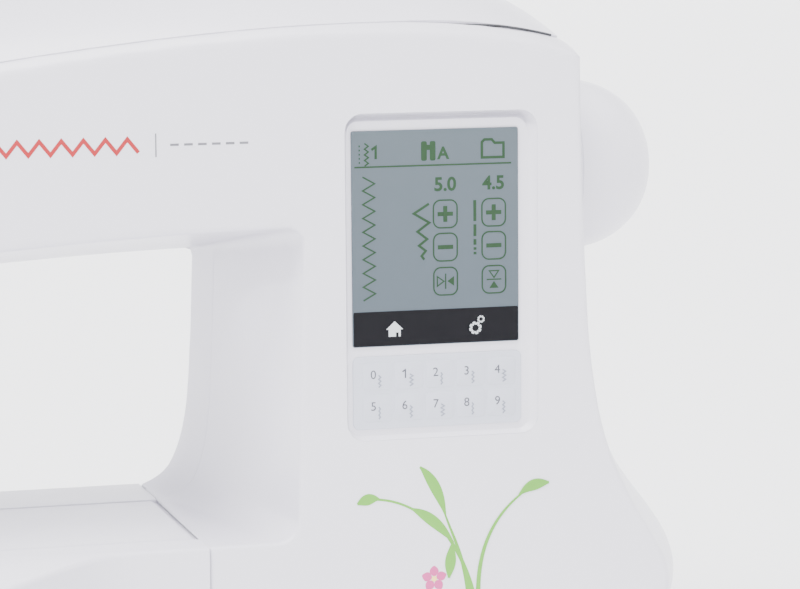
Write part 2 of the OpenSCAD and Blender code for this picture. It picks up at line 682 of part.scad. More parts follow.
module feed_drop_lever() color("gainsboro") {
  x = drop_slot_x[0] + 8;
  box([x - 5, x + 5], [back_y + gap, half_depth - 0.1], [drop_slot_z - 4, drop_slot_z + 4]);
  box([x - 4, x + 4], [back_in - 3, back_y + past], [drop_slot_z - 1.5, drop_slot_z + 1.5]);
  box([x - 6, x + 6], [back_in - 3, back_in - gap], [drop_slot_z - 4, drop_slot_z + 4]);
}

// ---- needle bar ----

module swing_frame() color("dimgray") {
  post = [needle_x - 14, needle_x - 10];
  difference() {
    union() {
      box(post, [20, 36], [153, swing_z + 6]);
      for (z = [[153, 159], [201, 207]]) box([post[0], needle_x + 5], [shaft_y - 5, shaft_y + 5], z);
      box([post[0], needle_x + 5], [31, 35], [swing_z - 6, swing_z + 6]);
    }
    z_rod(bar_r + fit, [150, 215], needle_x, shaft_y);
    y_rod(3 + fit, [30, 37], needle_x, swing_z);
  }
}

stud_z = shaft_z + crank_r - 38.5;
link_x = [needle_x + 6.5, needle_x + 8];
module needle_bar() color("silver") z_rod(bar_r, [131, 241], needle_x, shaft_y);

module needle_bar_link() color("dimgray") {
  z_tube(6, bar_r, [stud_z - 4, stud_z + 4], needle_x, shaft_y);
  x_rod(3, [needle_x + 5, link_x[1]], shaft_y, stud_z);
  difference() {
    end_slab(capsule([shaft_y, stud_z], 5, [shaft_y, shaft_z + crank_r], 4.99), link_x);
    x_rod(3.2, [link_x[0] - past, link_x[1] + past], shaft_y, shaft_z + crank_r);
  }
}

clamp_z = [127.5, 137];
module needle_clamp() color("silver") {
  z_tube(5, bar_r, [131, clamp_z[1]], needle_x, shaft_y);
  z_tube(5, 1, [clamp_z[0], 131], needle_x, shaft_y);
  x_rod(2, [needle_x + 4.5, needle_x + 11], shaft_y, 132.5);
  x_rod(3.6, [needle_x + 9, needle_x + 14], shaft_y, 132.5);
}

module needle() color("silver") {
  translate([needle_x, shaft_y, 99]) cylinder(r1 = 0.1, r2 = 0.45, h = 4);
  z_rod(0.45, [103, 119], needle_x, shaft_y);
  z_rod(1, [119, 131], needle_x, shaft_y);
}

// ---- presser ----

pivot_y = presser_y - 1;
pivot_z = 87.5;
collar_z = [184, 188];
module presser_bar() color("silver") {
  z_rod(presser_r, [92, 218], needle_x, presser_y);
  z_rod(6, collar_z, needle_x, presser_y);
}

module presser_spring() color("silver")
  z_tube(4.8, presser_r + 0.3, [collar_z[1], presser_guide_z[1][0]], needle_x, presser_y);

module foot_holder() color("silver") difference() {
  union() {
    box([needle_x - 4, needle_x + 4], [presser_y - 4, presser_y + 4], [92, 104]);
    box([needle_x - 2.8, needle_x + 2.8], [pivot_y - 2.5, presser_y + 3.5], [86, 92]);
    x_rod(1.8, [needle_x - 9, needle_x - 3], presser_y, 98);
    x_rod(3.4, [needle_x - 12, needle_x - 8], presser_y, 98);
  }
  z_rod(presser_r, [92, 105], needle_x, presser_y);
  x_rod(1 + fit, [needle_x - 4, needle_x + 4], pivot_y, pivot_z);
}

module presser_foot() color("silver") {
  sole_z = [bed_z + 3, bed_z + 5];
  sole_y = [8, 42];
  ears = [3.6, 5.2];
  difference() {
    plan_slab(round_box([needle_x - 10, needle_x + 10], sole_y, 3), sole_z);
    box([needle_x - 4.7, needle_x + 4.7], [sole_y[0] - past, 29], [sole_z[0] - past, sole_z[1] + past]);
  }
  for (side = [-1, 1]) {
    a = needle_x + side * ears[0];
    b = needle_x + side * ears[1];
    box([min(a, b), max(a, b)], [pivot_y - 2, pivot_y + 2], [sole_z[0] + 1, pivot_z + 2.5]);
  }
  x_rod(1, [needle_x - ears[1], needle_x + ears[1]], pivot_y, pivot_z);
}

module presser_lifter() color("gainsboro") {
  tip = [lifter_at[0] + 33, lifter_at[1] - 15];
  x_rod(3, [head_right_x - 8, head_right_x + 9], lifter_at[0], lifter_at[1]);
  end_slab(capsule(lifter_at, 6, tip, 4), [head_right_x + 3, head_right_x + 8]);
}

module buttonhole_lever() color("gainsboro") {
  box([-190, -187], [22, 30], [158, 205]);
  box([-191.5, -185.5], [20, 32], [150.6, 158]);
}

// ---- take-up lever ----

module take_up_lever() color("silver") {
  eye = take_up_pivot + 40 * [cos(150), sin(150)];
  difference() {
    end_slab(capsule(take_up_pivot, 5, eye, 2.6), [take_up_x - 1.1, take_up_x + 1.1]);
    x_rod(2.5 + fit, [take_up_x - 2, take_up_x + 2], take_up_pivot[0], take_up_pivot[1]);
    x_rod(1, [take_up_x - 2, take_up_x + 2], eye[0], eye[1]);
  }
}

// ---- sockets ----

module power_inlet() color("dimgray") {
  half = [13.7, 10.7];
  difference() {
    box([inlet_at[0] - half[0], inlet_at[0] + half[0]], [back_y - 15, back_y - 0.2],
      [inlet_at[1] - half[1], inlet_at[1] + half[1]]);
    box([inlet_at[0] - 11, inlet_at[0] + 11], [back_y - 12, back_y + past], [inlet_at[1] - 8, inlet_at[1] + 8]);
  }
  for (x = [-4.3, 4.3]) y_rod(1.2, [back_y - 13, back_y - 7], inlet_at[0] + x, inlet_at[1]);
}

module power_switch() color("black") {
  rocker_y = [back_y - 5, back_y + 1.5];
  box([switch_at[0] - 7.5, switch_at[0] + 7.5], rocker_y, [switch_at[1] - 9.5, switch_at[1] + 9.5]);
  // Pin that it rocks on
  x_rod(1.2, [switch_at[0] - 7.9, switch_at[0] + 7.9], back_y - 3.5, switch_at[1]);
}

module foot_socket() color("dimgray") difference() {
  box([socket_at[0] - 8.7, socket_at[0] + 8.7], [back_y - 14, back_y - 0.2],
    [socket_at[1] - 7.7, socket_at[1] + 7.7]);
  box([socket_at[0] - 6, socket_at[0] + 6], [back_y - 11, back_y + past], [socket_at[1] - 5, socket_at[1] + 5]);
}

base_pan();
rubber_feet();
front_cover();
rear_cover();
cover_screws();
arm_frame();
free_arm_shell();
needle_plate();
bobbin_cover();
extension_table();
face_cover();
spool_tray();
top_lid();
lid_hinge_pins();
spool_pin();
spool_cap();
winder_lever();
winder_spindle();
panel_frame();
lcd_screen();
keypad();
control_board();
start_button();
reverse_button();
needle_button();
speed_slider();
tension_dial();
take_up_lever();
handwheel();
upper_shaft();
shaft_bushes();
crank_disc();
needle_bar_link();
main_motor();
motor_pulley();
drive_belt();
timing_belt();
timing_pulley_upper();
lower_shaft();
timing_pulley_lower();
hook_drive_gear();
rotary_hook();
bobbin_case();
bobbin();
feed_dog();
feed_lift_fork();
feed_drop_lever();
swing_frame();
needle_bar();
needle_clamp();
needle();
presser_bar();
presser_spring();
foot_holder();
presser_foot();
presser_lifter();
buttonhole_lever();
power_inlet();
power_switch();
foot_socket();
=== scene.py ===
"""A free-arm sewing machine with a touch screen: smooth covers, printed marks, finishes, light and camera."""
import json
import math

import bmesh
import bpy
import numpy as np
from mathutils import Matrix, Vector


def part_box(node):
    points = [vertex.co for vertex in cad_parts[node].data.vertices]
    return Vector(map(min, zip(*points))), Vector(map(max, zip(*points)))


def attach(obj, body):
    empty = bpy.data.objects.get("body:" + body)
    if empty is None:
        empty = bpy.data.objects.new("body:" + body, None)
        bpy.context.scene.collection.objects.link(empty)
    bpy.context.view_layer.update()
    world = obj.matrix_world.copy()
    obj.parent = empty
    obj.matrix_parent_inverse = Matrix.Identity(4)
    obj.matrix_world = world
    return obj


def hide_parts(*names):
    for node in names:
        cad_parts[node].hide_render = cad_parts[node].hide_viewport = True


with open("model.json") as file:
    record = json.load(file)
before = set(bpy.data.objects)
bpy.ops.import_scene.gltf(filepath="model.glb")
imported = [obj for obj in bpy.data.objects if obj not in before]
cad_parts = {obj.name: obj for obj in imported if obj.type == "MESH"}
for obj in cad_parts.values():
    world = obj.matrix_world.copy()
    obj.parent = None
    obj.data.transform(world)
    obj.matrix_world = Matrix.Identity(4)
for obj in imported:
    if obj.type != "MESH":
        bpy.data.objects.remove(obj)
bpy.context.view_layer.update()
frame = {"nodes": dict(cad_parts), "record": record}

# Lengths below are in millimetres, in the frame's axes, and become metres when a mesh is made.
MM = 0.001


def cad(node):
    """Lowest and highest corners of a CAD node, in millimetres."""
    low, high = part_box(node)
    return np.array(low) / MM, np.array(high) / MM


# ---- places taken from the frame ----

arm_low, arm_high = cad("free_arm_shell")
table_low, table_high = cad("extension_table")
cover_low, cover_high = cad("front_cover")
rear_high = cad("rear_cover")[1]
lid_high = cad("top_lid")[1]
tray_low, tray_high = cad("spool_tray")
screen_low, screen_high = cad("lcd_screen")
keys_low, keys_high = cad("keypad")
panel_low, panel_high = cad("panel_frame")
wheel_low, wheel_high = cad("handwheel")
face_low, face_high = cad("face_cover")

BED_Z = arm_high[2]
FRONT_Y = cover_low[1]
BACK_Y = rear_high[1]
SPLIT_Y = cover_high[1]
LEFT_X = cover_low[0]
SEAM_X = arm_high[0] + 0.4
BASE_Z = cover_low[2]
WHEEL_LEFT = 181.0
WHEEL_R = 35.0
WHEEL_YZ = ((wheel_low[1] + wheel_high[1]) / 2, (wheel_low[2] + wheel_high[2]) / 2)
HEAD_X = -105.0
HEAD_Z = 150.0
HINGE_X = (-90.0, 120.0)
HUB_HOLE_R = 13
LIFTER_YZ = (62, 162)
LIFTER_HOLE_R = 3.6
HEAD_HOLE = ((-192, 2), (-134, 62))
FOOT_AXIS = (38, 87.5)


# ---- curves and tables ----

def bezier(a, b, c, d, n=200):
    """Points along a cubic curve."""
    t = np.linspace(0, 1, n)[:, None]
    a, b, c, d = (np.array(v, float) for v in (a, b, c, d))
    return (1 - t) ** 3 * a + 3 * (1 - t) ** 2 * t * b + 3 * (1 - t) * t * t * c + t ** 3 * d


def smooth_table(knots, step=1.0):
    """A smooth function through (place, value) knots."""
    place = np.array([k[0] for k in knots], float)
    value = np.array([k[1] for k in knots], float)
    slope = np.gradient(value, place)
    fine = np.arange(place[0], place[-1] + step, step)
    i = np.clip(np.searchsorted(place, fine) - 1, 0, len(place) - 2)
    width = place[i + 1] - place[i]
    t = np.clip((fine - place[i]) / width, 0, 1)
    rise = value[i + 1] - value[i]
    curve = value[i] + rise * (3 - 2 * t) * t * t
    curve += width * (slope[i] * t * (1 - t) ** 2 - slope[i + 1] * t * t * (1 - t))
    return lambda q: np.interp(q, fine, curve)


def height_of(points):
    """The curve's second coordinate as a function of its first."""
    order = np.argsort(points[:, 0])
    return lambda q: np.interp(q, points[order, 0], points[order, 1])


def ramp(t):
    """Smooth step from 0 to 1."""
    t = np.clip(t, 0, 1)
    return t * t * (3 - 2 * t)


def round_max(a, b, r):
    """Overlap of two fields, its edge rounded to radius r."""
    u = np.maximum(a + r, 0)
    v = np.maximum(b + r, 0)
    return np.minimum(np.maximum(a, b), -r) + np.hypot(u, v)


def round_min(a, b, r):
    """Union of two fields, its inner corner filled to radius r."""
    return -round_max(-a, -b, r)


def flat_box(u, v, low, high, r=0.0):
    """Distance to a rectangle with round corners, in two coordinates."""
    mid = [(low[i] + high[i]) / 2 for i in (0, 1)]
    half = [(high[i] - low[i]) / 2 - r for i in (0, 1)]
    du = np.abs(u - mid[0]) - half[0]
    dv = np.abs(v - mid[1]) - half[1]
    out = np.hypot(np.maximum(du, 0), np.maximum(dv, 0))
    return out + np.minimum(np.maximum(du, dv), 0) - r


# ---- the covers' shape ----

# Right edge of the front face, from the base up
front_edge = smooth_table([(6, 184), (12, 189), (24, 198), (37, 204.5), (46, 208.5), (55.5, 209.9),
                           (65, 207.5), (75, 202.3), (88.6, 194.3), (103, 187.4), (119, 182.1),
                           (134, 179.2), (149, 177.2), (182, 175.1), (215, 173.8), (262, 172.9),
                           (300, 172.7)])
crease = height_of(np.vstack([bezier((174, 266.5), (89, 294), (-100, 258), (-210, 238.5)),
                              [[-240, 232.6], [200, 257.5]]]))
crown = height_of(np.vstack([bezier((173, 273), (150, 324), (-90, 312), (-222, 246)),
                             [[-240, 236.8], [186, 244]]]))
LID_STEP = 4.5
DOME_Y = (30.0, 70.0)
BOW_Y = (45.0, 85.0)
REAR_BOW = 56.0
CEILING = 203.3
CEILING_DROP = 22.0
INNER_X = 57.8


def bow(z):
    """How far the right side swells out behind the front face."""
    return 5 + 17 * ramp((150 - z) / 90)


def right_side(x, y, z):
    """Field of the covers' right side."""
    swell = bow(z)
    ahead = np.clip((BOW_Y[0] - y) / BOW_Y[1], 0, 1.2)
    behind = np.clip((y - BOW_Y[0]) / REAR_BOW, 0, 1.3)
    edge = front_edge(z) + swell * (1 - ahead ** 2) - (4 + 0.35 * swell) * behind ** 2
    lean = (front_edge(z + 1) - front_edge(z - 1)) / 2
    tilt = 2 * swell * ahead / BOW_Y[1] - 2 * (4 + 0.35 * swell) * behind / REAR_BOW
    return (x - edge) / np.sqrt(1 + lean ** 2 + tilt ** 2)


def dome_height(x, y):
    """Height of the domed top, from the front crease over the crown to the back."""
    u = np.abs((y - DOME_Y[0]) / DOME_Y[1])
    rise = np.where(u < 1, np.maximum(1 - u ** 2.2, 1e-6) ** 0.9, -2.0 * (u - 1))
    return crease(x) + (crown(x) - crease(x)) * rise


def dome(x, y, z):
    """Field of the domed top."""
    h = 0.4
    dx = (dome_height(x + h, y) - dome_height(x - h, y)) / (2 * h)
    dy = (dome_height(x, y + h) - dome_height(x, y - h)) / (2 * h)
    return (z - dome_height(x, y)) / np.sqrt(1 + dx ** 2 + dy ** 2)


def free_space(x, y, z):
    """Field of the working space, the room under the head and the room over the free arm."""
    back = np.clip((y - FRONT_Y) / (BACK_Y - FRONT_Y), -0.2, 1.2)
    droop = 0.073 * 25 * np.logaddexp(0, (20 - x) / 25)
    droop = droop * (1 - ramp((y - 45) / 30) * ramp((-55 - x) / 35))
    ceiling = CEILING - droop - CEILING_DROP * back
    over_arm = round_max((z - ceiling) / 1.015, HEAD_X - x, 5)
    opening = round_min(over_arm, z - HEAD_Z, 5)
    up = np.clip((z - BED_Z) / 120, 0, 1)
    wall_x = INNER_X + 3.2 * up ** 2 - 14.5 * back - 16 * back * np.exp(-np.maximum(z - BED_Z, 0) / 16)
    corner = 7 - 4.5 * back
    opening = round_max(opening, x - wall_x, np.clip(corner, 2, 8))
    opening = round_max(opening, BED_Z - z, 9)
    past_seam = np.maximum(x - SEAM_X, z - BED_Z - 1)
    return np.minimum(opening, past_seam)


def covers(x, y, z):
    """Field of the front and rear covers together."""
    body = round_max(FRONT_Y - y, right_side(x, y, z), 1.6)
    slope = dome(x, y, z)
    deck = z - crease(x) - LID_STEP
    top = round_max(slope, deck, 0.8)
    body = round_max(body, top, 1.0)
    body = round_max(body, y - BACK_Y, 6)
    body = round_max(body, LEFT_X - x, 2.5)
    body = round_max(body, BASE_Z - 8 - z, 3)
    boss = np.hypot(y - WHEEL_YZ[0], z - WHEEL_YZ[1]) - 30
    boss = round_max(boss, x - (WHEEL_LEFT - 0.8), 2.0)
    boss = np.maximum(boss, 150 - x)
    body = round_min(body, boss, 4)
    return round_max(body, -free_space(x, y, z), 1.6)


def lid_shell(x, y, z):
    """Field of the lid's outer surface, which runs on below its edge."""
    top = dome(x, y, z)
    body = round_max(top, right_side(x, y, z), 5)
    body = round_max(body, y - lid_high[1], 7)
    return round_max(body, LEFT_X - x, 9)


def free_arm(x, y, z):
    """Field of the free arm's casing."""
    side = flat_box(x, y, arm_low, arm_high + [20, 0, 0], 12)
    body = round_max(side, z - BED_Z, 2.2)
    body = round_max(body, arm_low[2] - z, 6)
    return np.maximum(body, x - arm_high[0])


# ---- from a field to a mesh ----

def grid(low, high, step, fine=(), fine_step=1.0):
    """Grid lines from low to high, closer together inside the fine stretches."""
    lines = [low]
    while lines[-1] < high:
        near = any(a <= lines[-1] < b for a, b in fine)
        lines.append(lines[-1] + (fine_step if near else step))
    return np.array(lines)


def net(field, axes):
    """Vertices and quads on the surface where the field is zero."""
    values = field(*np.meshgrid(*axes, indexing="ij"))
    inside = values < 0
    cells = tuple(n - 1 for n in values.shape)
    points, owners, quads = [], [], []
    for axis in range(3):
        low = [slice(None)] * 3
        high = [slice(None)] * 3
        low[axis] = slice(0, -1)
        high[axis] = slice(1, None)
        start, end = inside[tuple(low)], inside[tuple(high)]
        at = np.argwhere(start != end)
        ahead = at.copy()
        ahead[:, axis] += 1
        a = values[tuple(at.T)]
        b = values[tuple(ahead.T)]
        t = a / (a - b)
        point = np.stack([axes[k][at[:, k]] for k in range(3)], 1)
        point[:, axis] += t * (axes[axis][ahead[:, axis]] - axes[axis][at[:, axis]])
        u, v = (axis + 1) % 3, (axis + 2) % 3
        around = []
        for du, dv in ((0, 0), (-1, 0), (-1, -1), (0, -1)):
            cell = at.copy()
            cell[:, u] += du
            cell[:, v] += dv
            around.append(cell)
        good = np.all([(c >= 0).all(1) & (c < cells).all(1) for c in around], 0)
        ids = [np.ravel_multi_index(tuple(c[good].T), cells) for c in around]
        outward = start[tuple(at.T)][good]
        ring = np.stack(ids, 1)
        ring[~outward] = ring[~outward][:, ::-1]
        quads.append(ring)
        for c in ids:
            points.append(point[good])
            owners.append(c)
    points = np.concatenate(points)
    owners = np.concatenate(owners)
    quads = np.concatenate(quads)
    used, place = np.unique(owners, return_inverse=True)
    count = np.bincount(place)
    mean = np.stack([np.bincount(place, points[:, k]) / count for k in range(3)], 1)
    return mean, np.searchsorted(used, quads)


def slope_of(field, p, h=0.02):
    """The field's gradient at points."""
    out = np.empty_like(p)
    for k in range(3):
        step = np.zeros(3)
        step[k] = h
        out[:, k] = (field(*(p + step).T) - field(*(p - step).T)) / (2 * h)
    return out


def settle(field, p, rounds=3, limit=1.5):
    """Points moved onto the surface where the field is zero."""
    for _ in range(rounds):
        g = slope_of(field, p)
        size = np.maximum((g ** 2).sum(1), 0.05)
        move = (field(*p.T) / size)[:, None] * g
        length = np.maximum(np.linalg.norm(move, axis=1), 1e-9)[:, None]
        p = p - move * np.minimum(1, limit / length)
    return p


def relax(field, p, quads, rounds=2):
    """Points spread evenly over the surface."""
    edges = np.vstack([quads[:, [k, (k + 1) % 4]] for k in range(4)])
    count = np.bincount(edges[:, 0], minlength=len(p)) + np.bincount(edges[:, 1], minlength=len(p))
    for _ in range(rounds):
        total = np.zeros_like(p)
        for k in range(3):
            total[:, k] = np.bincount(edges[:, 0], p[edges[:, 1], k], len(p))
            total[:, k] += np.bincount(edges[:, 1], p[edges[:, 0], k], len(p))
        p = settle(field, p + 0.5 * (total / count[:, None] - p), 1)
    return p


def surface(field, axes):
    """Even triangles on the surface where the field is zero."""
    p, quads = net(field, axes)
    p = settle(field, relax(field, settle(field, p), quads), 2)
    triangles = np.vstack([quads[:, [0, 1, 2]], quads[:, [0, 2, 3]]])
    return p, triangles


def used_only(p, triangles):
    """The points that the triangles use, and the triangles renumbered."""
    used, place = np.unique(triangles, return_inverse=True)
    return p[used], place.reshape(triangles.shape)


def clip(p, triangles, cut, field, snap=0.35):
    """The part of a mesh where cut is below zero. New edge points lie on the surface and on the cut."""
    side = cut(*p.T)
    g = np.linalg.norm(slope_of(cut, p), axis=1)
    near = np.abs(side) < snap * np.maximum(g, 0.1)
    if near.any():
        moved = p[near]
        for _ in range(4):
            moved = settle(field, settle(cut, moved, 1, 0.6), 1, 0.6)
        p = p.copy()
        p[near] = moved
        side[near] = 0
    sign = np.sign(side).astype(int)
    signs = sign[triangles]
    keep = (signs <= 0).all(1) & (signs < 0).any(1)
    mixed = (signs < 0).any(1) & (signs > 0).any(1)
    fresh, new_points, new_triangles = {}, [], []

    def crossing(a, b):
        key = (min(a, b), max(a, b))
        if key not in fresh:
            t = side[a] / (side[a] - side[b])
            fresh[key] = len(p) + len(new_points)
            new_points.append(p[a] + t * (p[b] - p[a]))
        return fresh[key]

    for tri in triangles[mixed]:
        ring = []
        for k in range(3):
            a, b = tri[k], tri[(k + 1) % 3]
            if sign[a] <= 0:
                ring.append(a)
            if sign[a] * sign[b] < 0:
                ring.append(crossing(a, b))
        for k in range(1, len(ring) - 1):
            new_triangles.append((ring[0], ring[k], ring[k + 1]))
    if new_points:
        extra = np.array(new_points)
        for _ in range(3):
            extra = settle(field, settle(cut, extra, 1, 0.6), 1, 0.6)
        p = np.vstack([p, extra])
        triangles = np.vstack([triangles[keep], np.array(new_triangles)])
    else:
        triangles = triangles[keep]
    return used_only(p, triangles)


def rim_edges(triangles):
    """Directed edges that have no neighbour on their other side."""
    edges = np.vstack([triangles[:, [k, (k + 1) % 3]] for k in range(3)])
    top = triangles.max() + 1
    key = edges[:, 0] * top + edges[:, 1]
    back = edges[:, 1] * top + edges[:, 0]
    return edges[~np.isin(key, back)]


def unit(v):
    """Vectors scaled to length 1."""
    return v / np.maximum(np.linalg.norm(v, axis=-1, keepdims=True), 1e-12)


def linked(name, data):
    """A new object in the scene."""
    obj = bpy.data.objects.new(name, data)
    bpy.context.scene.collection.objects.link(obj)
    return obj


def make_mesh(name, points, faces, normals=None):
    """An object from points in millimetres. normals gives one direction per face corner."""
    mesh = bpy.data.meshes.new(name)
    mesh.from_pydata((np.asarray(points) * MM).tolist(), [], [list(f) for f in faces])
    mesh.update()
    mesh.polygons.foreach_set("use_smooth", np.ones(len(mesh.polygons), bool))
    if normals is not None:
        mesh.normals_split_custom_set(normals.tolist())
    return linked(name, mesh)


def shell(name, p, triangles, field, wall=2.4, bevel=0.25):
    """A closed wall behind a clipped surface, with its cut edges eased."""
    n = unit(slope_of(field, p))
    rim = rim_edges(triangles)
    along = p[rim[:, 1]] - p[rim[:, 0]]
    away = np.zeros_like(p)
    for end in (0, 1):
        side = unit(np.cross(along, n[rim[:, end]]))
        for k in range(3):
            away[:, k] += np.bincount(rim[:, end], side[:, k], len(p))
    away = unit(away)
    edge, slot = np.unique(rim, return_inverse=True)
    slot = slot.reshape(rim.shape)
    outer = p.copy()
    outer[edge] -= away[edge] * bevel
    inner = p - n * wall
    lip = p[edge] - n[edge] * bevel
    count = len(p)
    points = np.vstack([outer, inner, lip])
    a, b = rim[:, 0], rim[:, 1]
    lip_a, lip_b = slot[:, 0] + 2 * count, slot[:, 1] + 2 * count
    ease = np.stack([b, a, lip_a, lip_b], 1)
    side = np.stack([lip_b, lip_a, a + count, b + count], 1)
    faces = triangles.tolist() + (triangles[:, ::-1] + count).tolist() + ease.tolist() + side.tolist()
    ease_n = np.stack([n[b], n[a], away[a], away[b]], 1)
    side_n = np.stack([away[b], away[a], away[a], away[b]], 1)
    normals = np.vstack([n[triangles].reshape(-1, 3), -n[triangles[:, ::-1]].reshape(-1, 3),
                         ease_n.reshape(-1, 3), side_n.reshape(-1, 3)])
    return make_mesh(name, points, faces, normals)


# ---- plates, turned parts and rods ----

def arc(cx, cy, r, a0, a1, n=8):
    """Points on a circle from a0 to a1 degrees."""
    a = np.radians(np.linspace(a0, a1, n + 1))
    return np.stack([cx + r * np.cos(a), cy + r * np.sin(a)], 1)


def round_box(u, v, r, n=8):
    """Counter-clockwise rectangle with round corners."""
    return np.vstack([arc(u[1] - r, v[0] + r, r, -90, 0, n), arc(u[1] - r, v[1] - r, r, 0, 90, n),
                      arc(u[0] + r, v[1] - r, r, 90, 180, n), arc(u[0] + r, v[0] + r, r, 180, 270, n)])


def capsule_ring(a, b, r, n=12):
    """Counter-clockwise outline round a straight line from a to b."""
    heading = math.degrees(math.atan2(b[1] - a[1], b[0] - a[0]))
    return np.vstack([arc(*b, r, heading - 90, heading + 90, n), arc(*a, r, heading + 90, heading + 270, n)])


def inset(ring, d):
    """An outline moved inwards by d."""
    before = ring - np.roll(ring, 1, 0)
    after = np.roll(ring, -1, 0) - ring
    p = unit(np.stack([-before[:, 1], before[:, 0]], 1))
    q = unit(np.stack([-after[:, 1], after[:, 0]], 1))
    m = unit(p + q)
    return ring + m * d / np.maximum((m * p).sum(1, keepdims=True), 0.4)


PLANES = {"front": lambda uv, w: np.stack([uv[:, 0], w, uv[:, 1]], 1),
          "plan": lambda uv, w: np.stack([uv[:, 0], uv[:, 1], w], 1),
          "end": lambda uv, w: np.stack([w, uv[:, 0], uv[:, 1]], 1)}


def sharp_by_angle(obj, degrees=32):
    """Smooth shading, broken where two faces meet at a steep angle."""
    bm = bmesh.new()
    bm.from_mesh(obj.data)
    bmesh.ops.remove_doubles(bm, verts=bm.verts, dist=1e-7)
    bmesh.ops.recalc_face_normals(bm, faces=bm.faces)
    for edge in bm.edges:
        edge.smooth = edge.is_manifold and edge.calc_face_angle(0) < math.radians(degrees)
    for face in bm.faces:
        face.smooth = True
    bm.to_mesh(obj.data)
    bm.free()
    return obj


def loft_faces(rings, count, closed_ends=True):
    """Faces that join rings of count points each, one after the other."""
    faces = []
    for k in range(rings - 1):
        for i in range(count):
            j = (i + 1) % count
            faces.append((k * count + i, k * count + j, (k + 1) * count + j, (k + 1) * count + i))
    if closed_ends:
        faces.append(tuple(range(count))[::-1])
        faces.append(tuple(range((rings - 1) * count, rings * count)))
    return faces


def slab(name, ring, plane, levels, degrees=32):
    """A solid whose outline is inset by each level's first number at its second."""
    points = [PLANES[plane](inset(ring, d) if d else ring, np.full(len(ring), w)) for d, w in levels]
    return sharp_by_angle(make_mesh(name, np.vstack(points), loft_faces(len(levels), len(ring))), degrees)


def eased(low, high, r=0.6, both=True):
    """Levels from low to high with rounded edges."""
    turn = np.radians(np.linspace(0, 90, 5))
    top = [(r * (1 - math.cos(a)), high - r * (1 - math.sin(a))) for a in turn]
    bottom = [(r * (1 - math.cos(a)), low + r * (1 - math.sin(a))) for a in turn[::-1]]
    return (bottom if both else [(0, low)]) + top


def turned(name, profile, axis, centre, n=64, degrees=32):
    """A solid turned round an axis. The profile holds (radius, place along the axis)."""
    a = np.linspace(0, 2 * math.pi, n, endpoint=False)
    order = {"x": (2, 0, 1), "y": (1, 2, 0), "z": (0, 1, 2)}[axis]
    rings = []
    for r, w in profile:
        local = np.stack([max(r, 0.02) * np.cos(a), max(r, 0.02) * np.sin(a), np.full(n, float(w))], 1)
        rings.append(local[:, order] + np.array(centre))
    return sharp_by_angle(make_mesh(name, np.vstack(rings), loft_faces(len(rings), n)), degrees)


def tube(name, path, radius, n=12, degrees=60):
    """A round wire along points."""
    path = np.array(path, float)
    ahead = unit(np.gradient(path, axis=0))
    side = unit(np.cross(ahead, np.where(np.abs(ahead[:, 2:]) > 0.9, [[1, 0, 0]], [[0, 0, 1]])))
    up = np.cross(side, ahead)
    radius = np.broadcast_to(radius, len(path))
    a = np.linspace(0, 2 * math.pi, n, endpoint=False)
    rings = [p + r * (np.cos(a)[:, None] * s + np.sin(a)[:, None] * u)
             for p, s, u, r in zip(path, side, up, radius)]
    return sharp_by_angle(make_mesh(name, np.vstack(rings), loft_faces(len(rings), n)), degrees)


def joined(name, parts):
    """Several objects as one."""
    bm = bmesh.new()
    for part in parts:
        bm.from_mesh(part.data)
        bpy.data.objects.remove(part)
    mesh = bpy.data.meshes.new(name)
    bm.to_mesh(mesh)
    bm.free()
    return linked(name, mesh)


def lettering(name, text, size, at, thick=0.12, bold=0.0):
    """Raised generic figures on the front face, centred at (x, z)."""
    curve = bpy.data.curves.new(name, "FONT")
    curve.body = text
    curve.size = size
    curve.align_x = "CENTER"
    curve.align_y = "CENTER"
    curve.extrude = thick / 2
    curve.offset = bold
    curve.resolution_u = 4
    holder = linked(name, curve)
    bpy.context.view_layer.update()
    mesh = bpy.data.meshes.new_from_object(holder.evaluated_get(bpy.context.evaluated_depsgraph_get()))
    bpy.data.objects.remove(holder)
    x, y, z = at
    turn = Matrix.Rotation(math.pi / 2, 4, "X")
    mesh.transform(Matrix.Translation(Vector((x, y, z)) * MM) @ turn @ Matrix.Scale(MM, 4))
    return sharp_by_angle(linked(name, mesh))


# ---- finishes ----

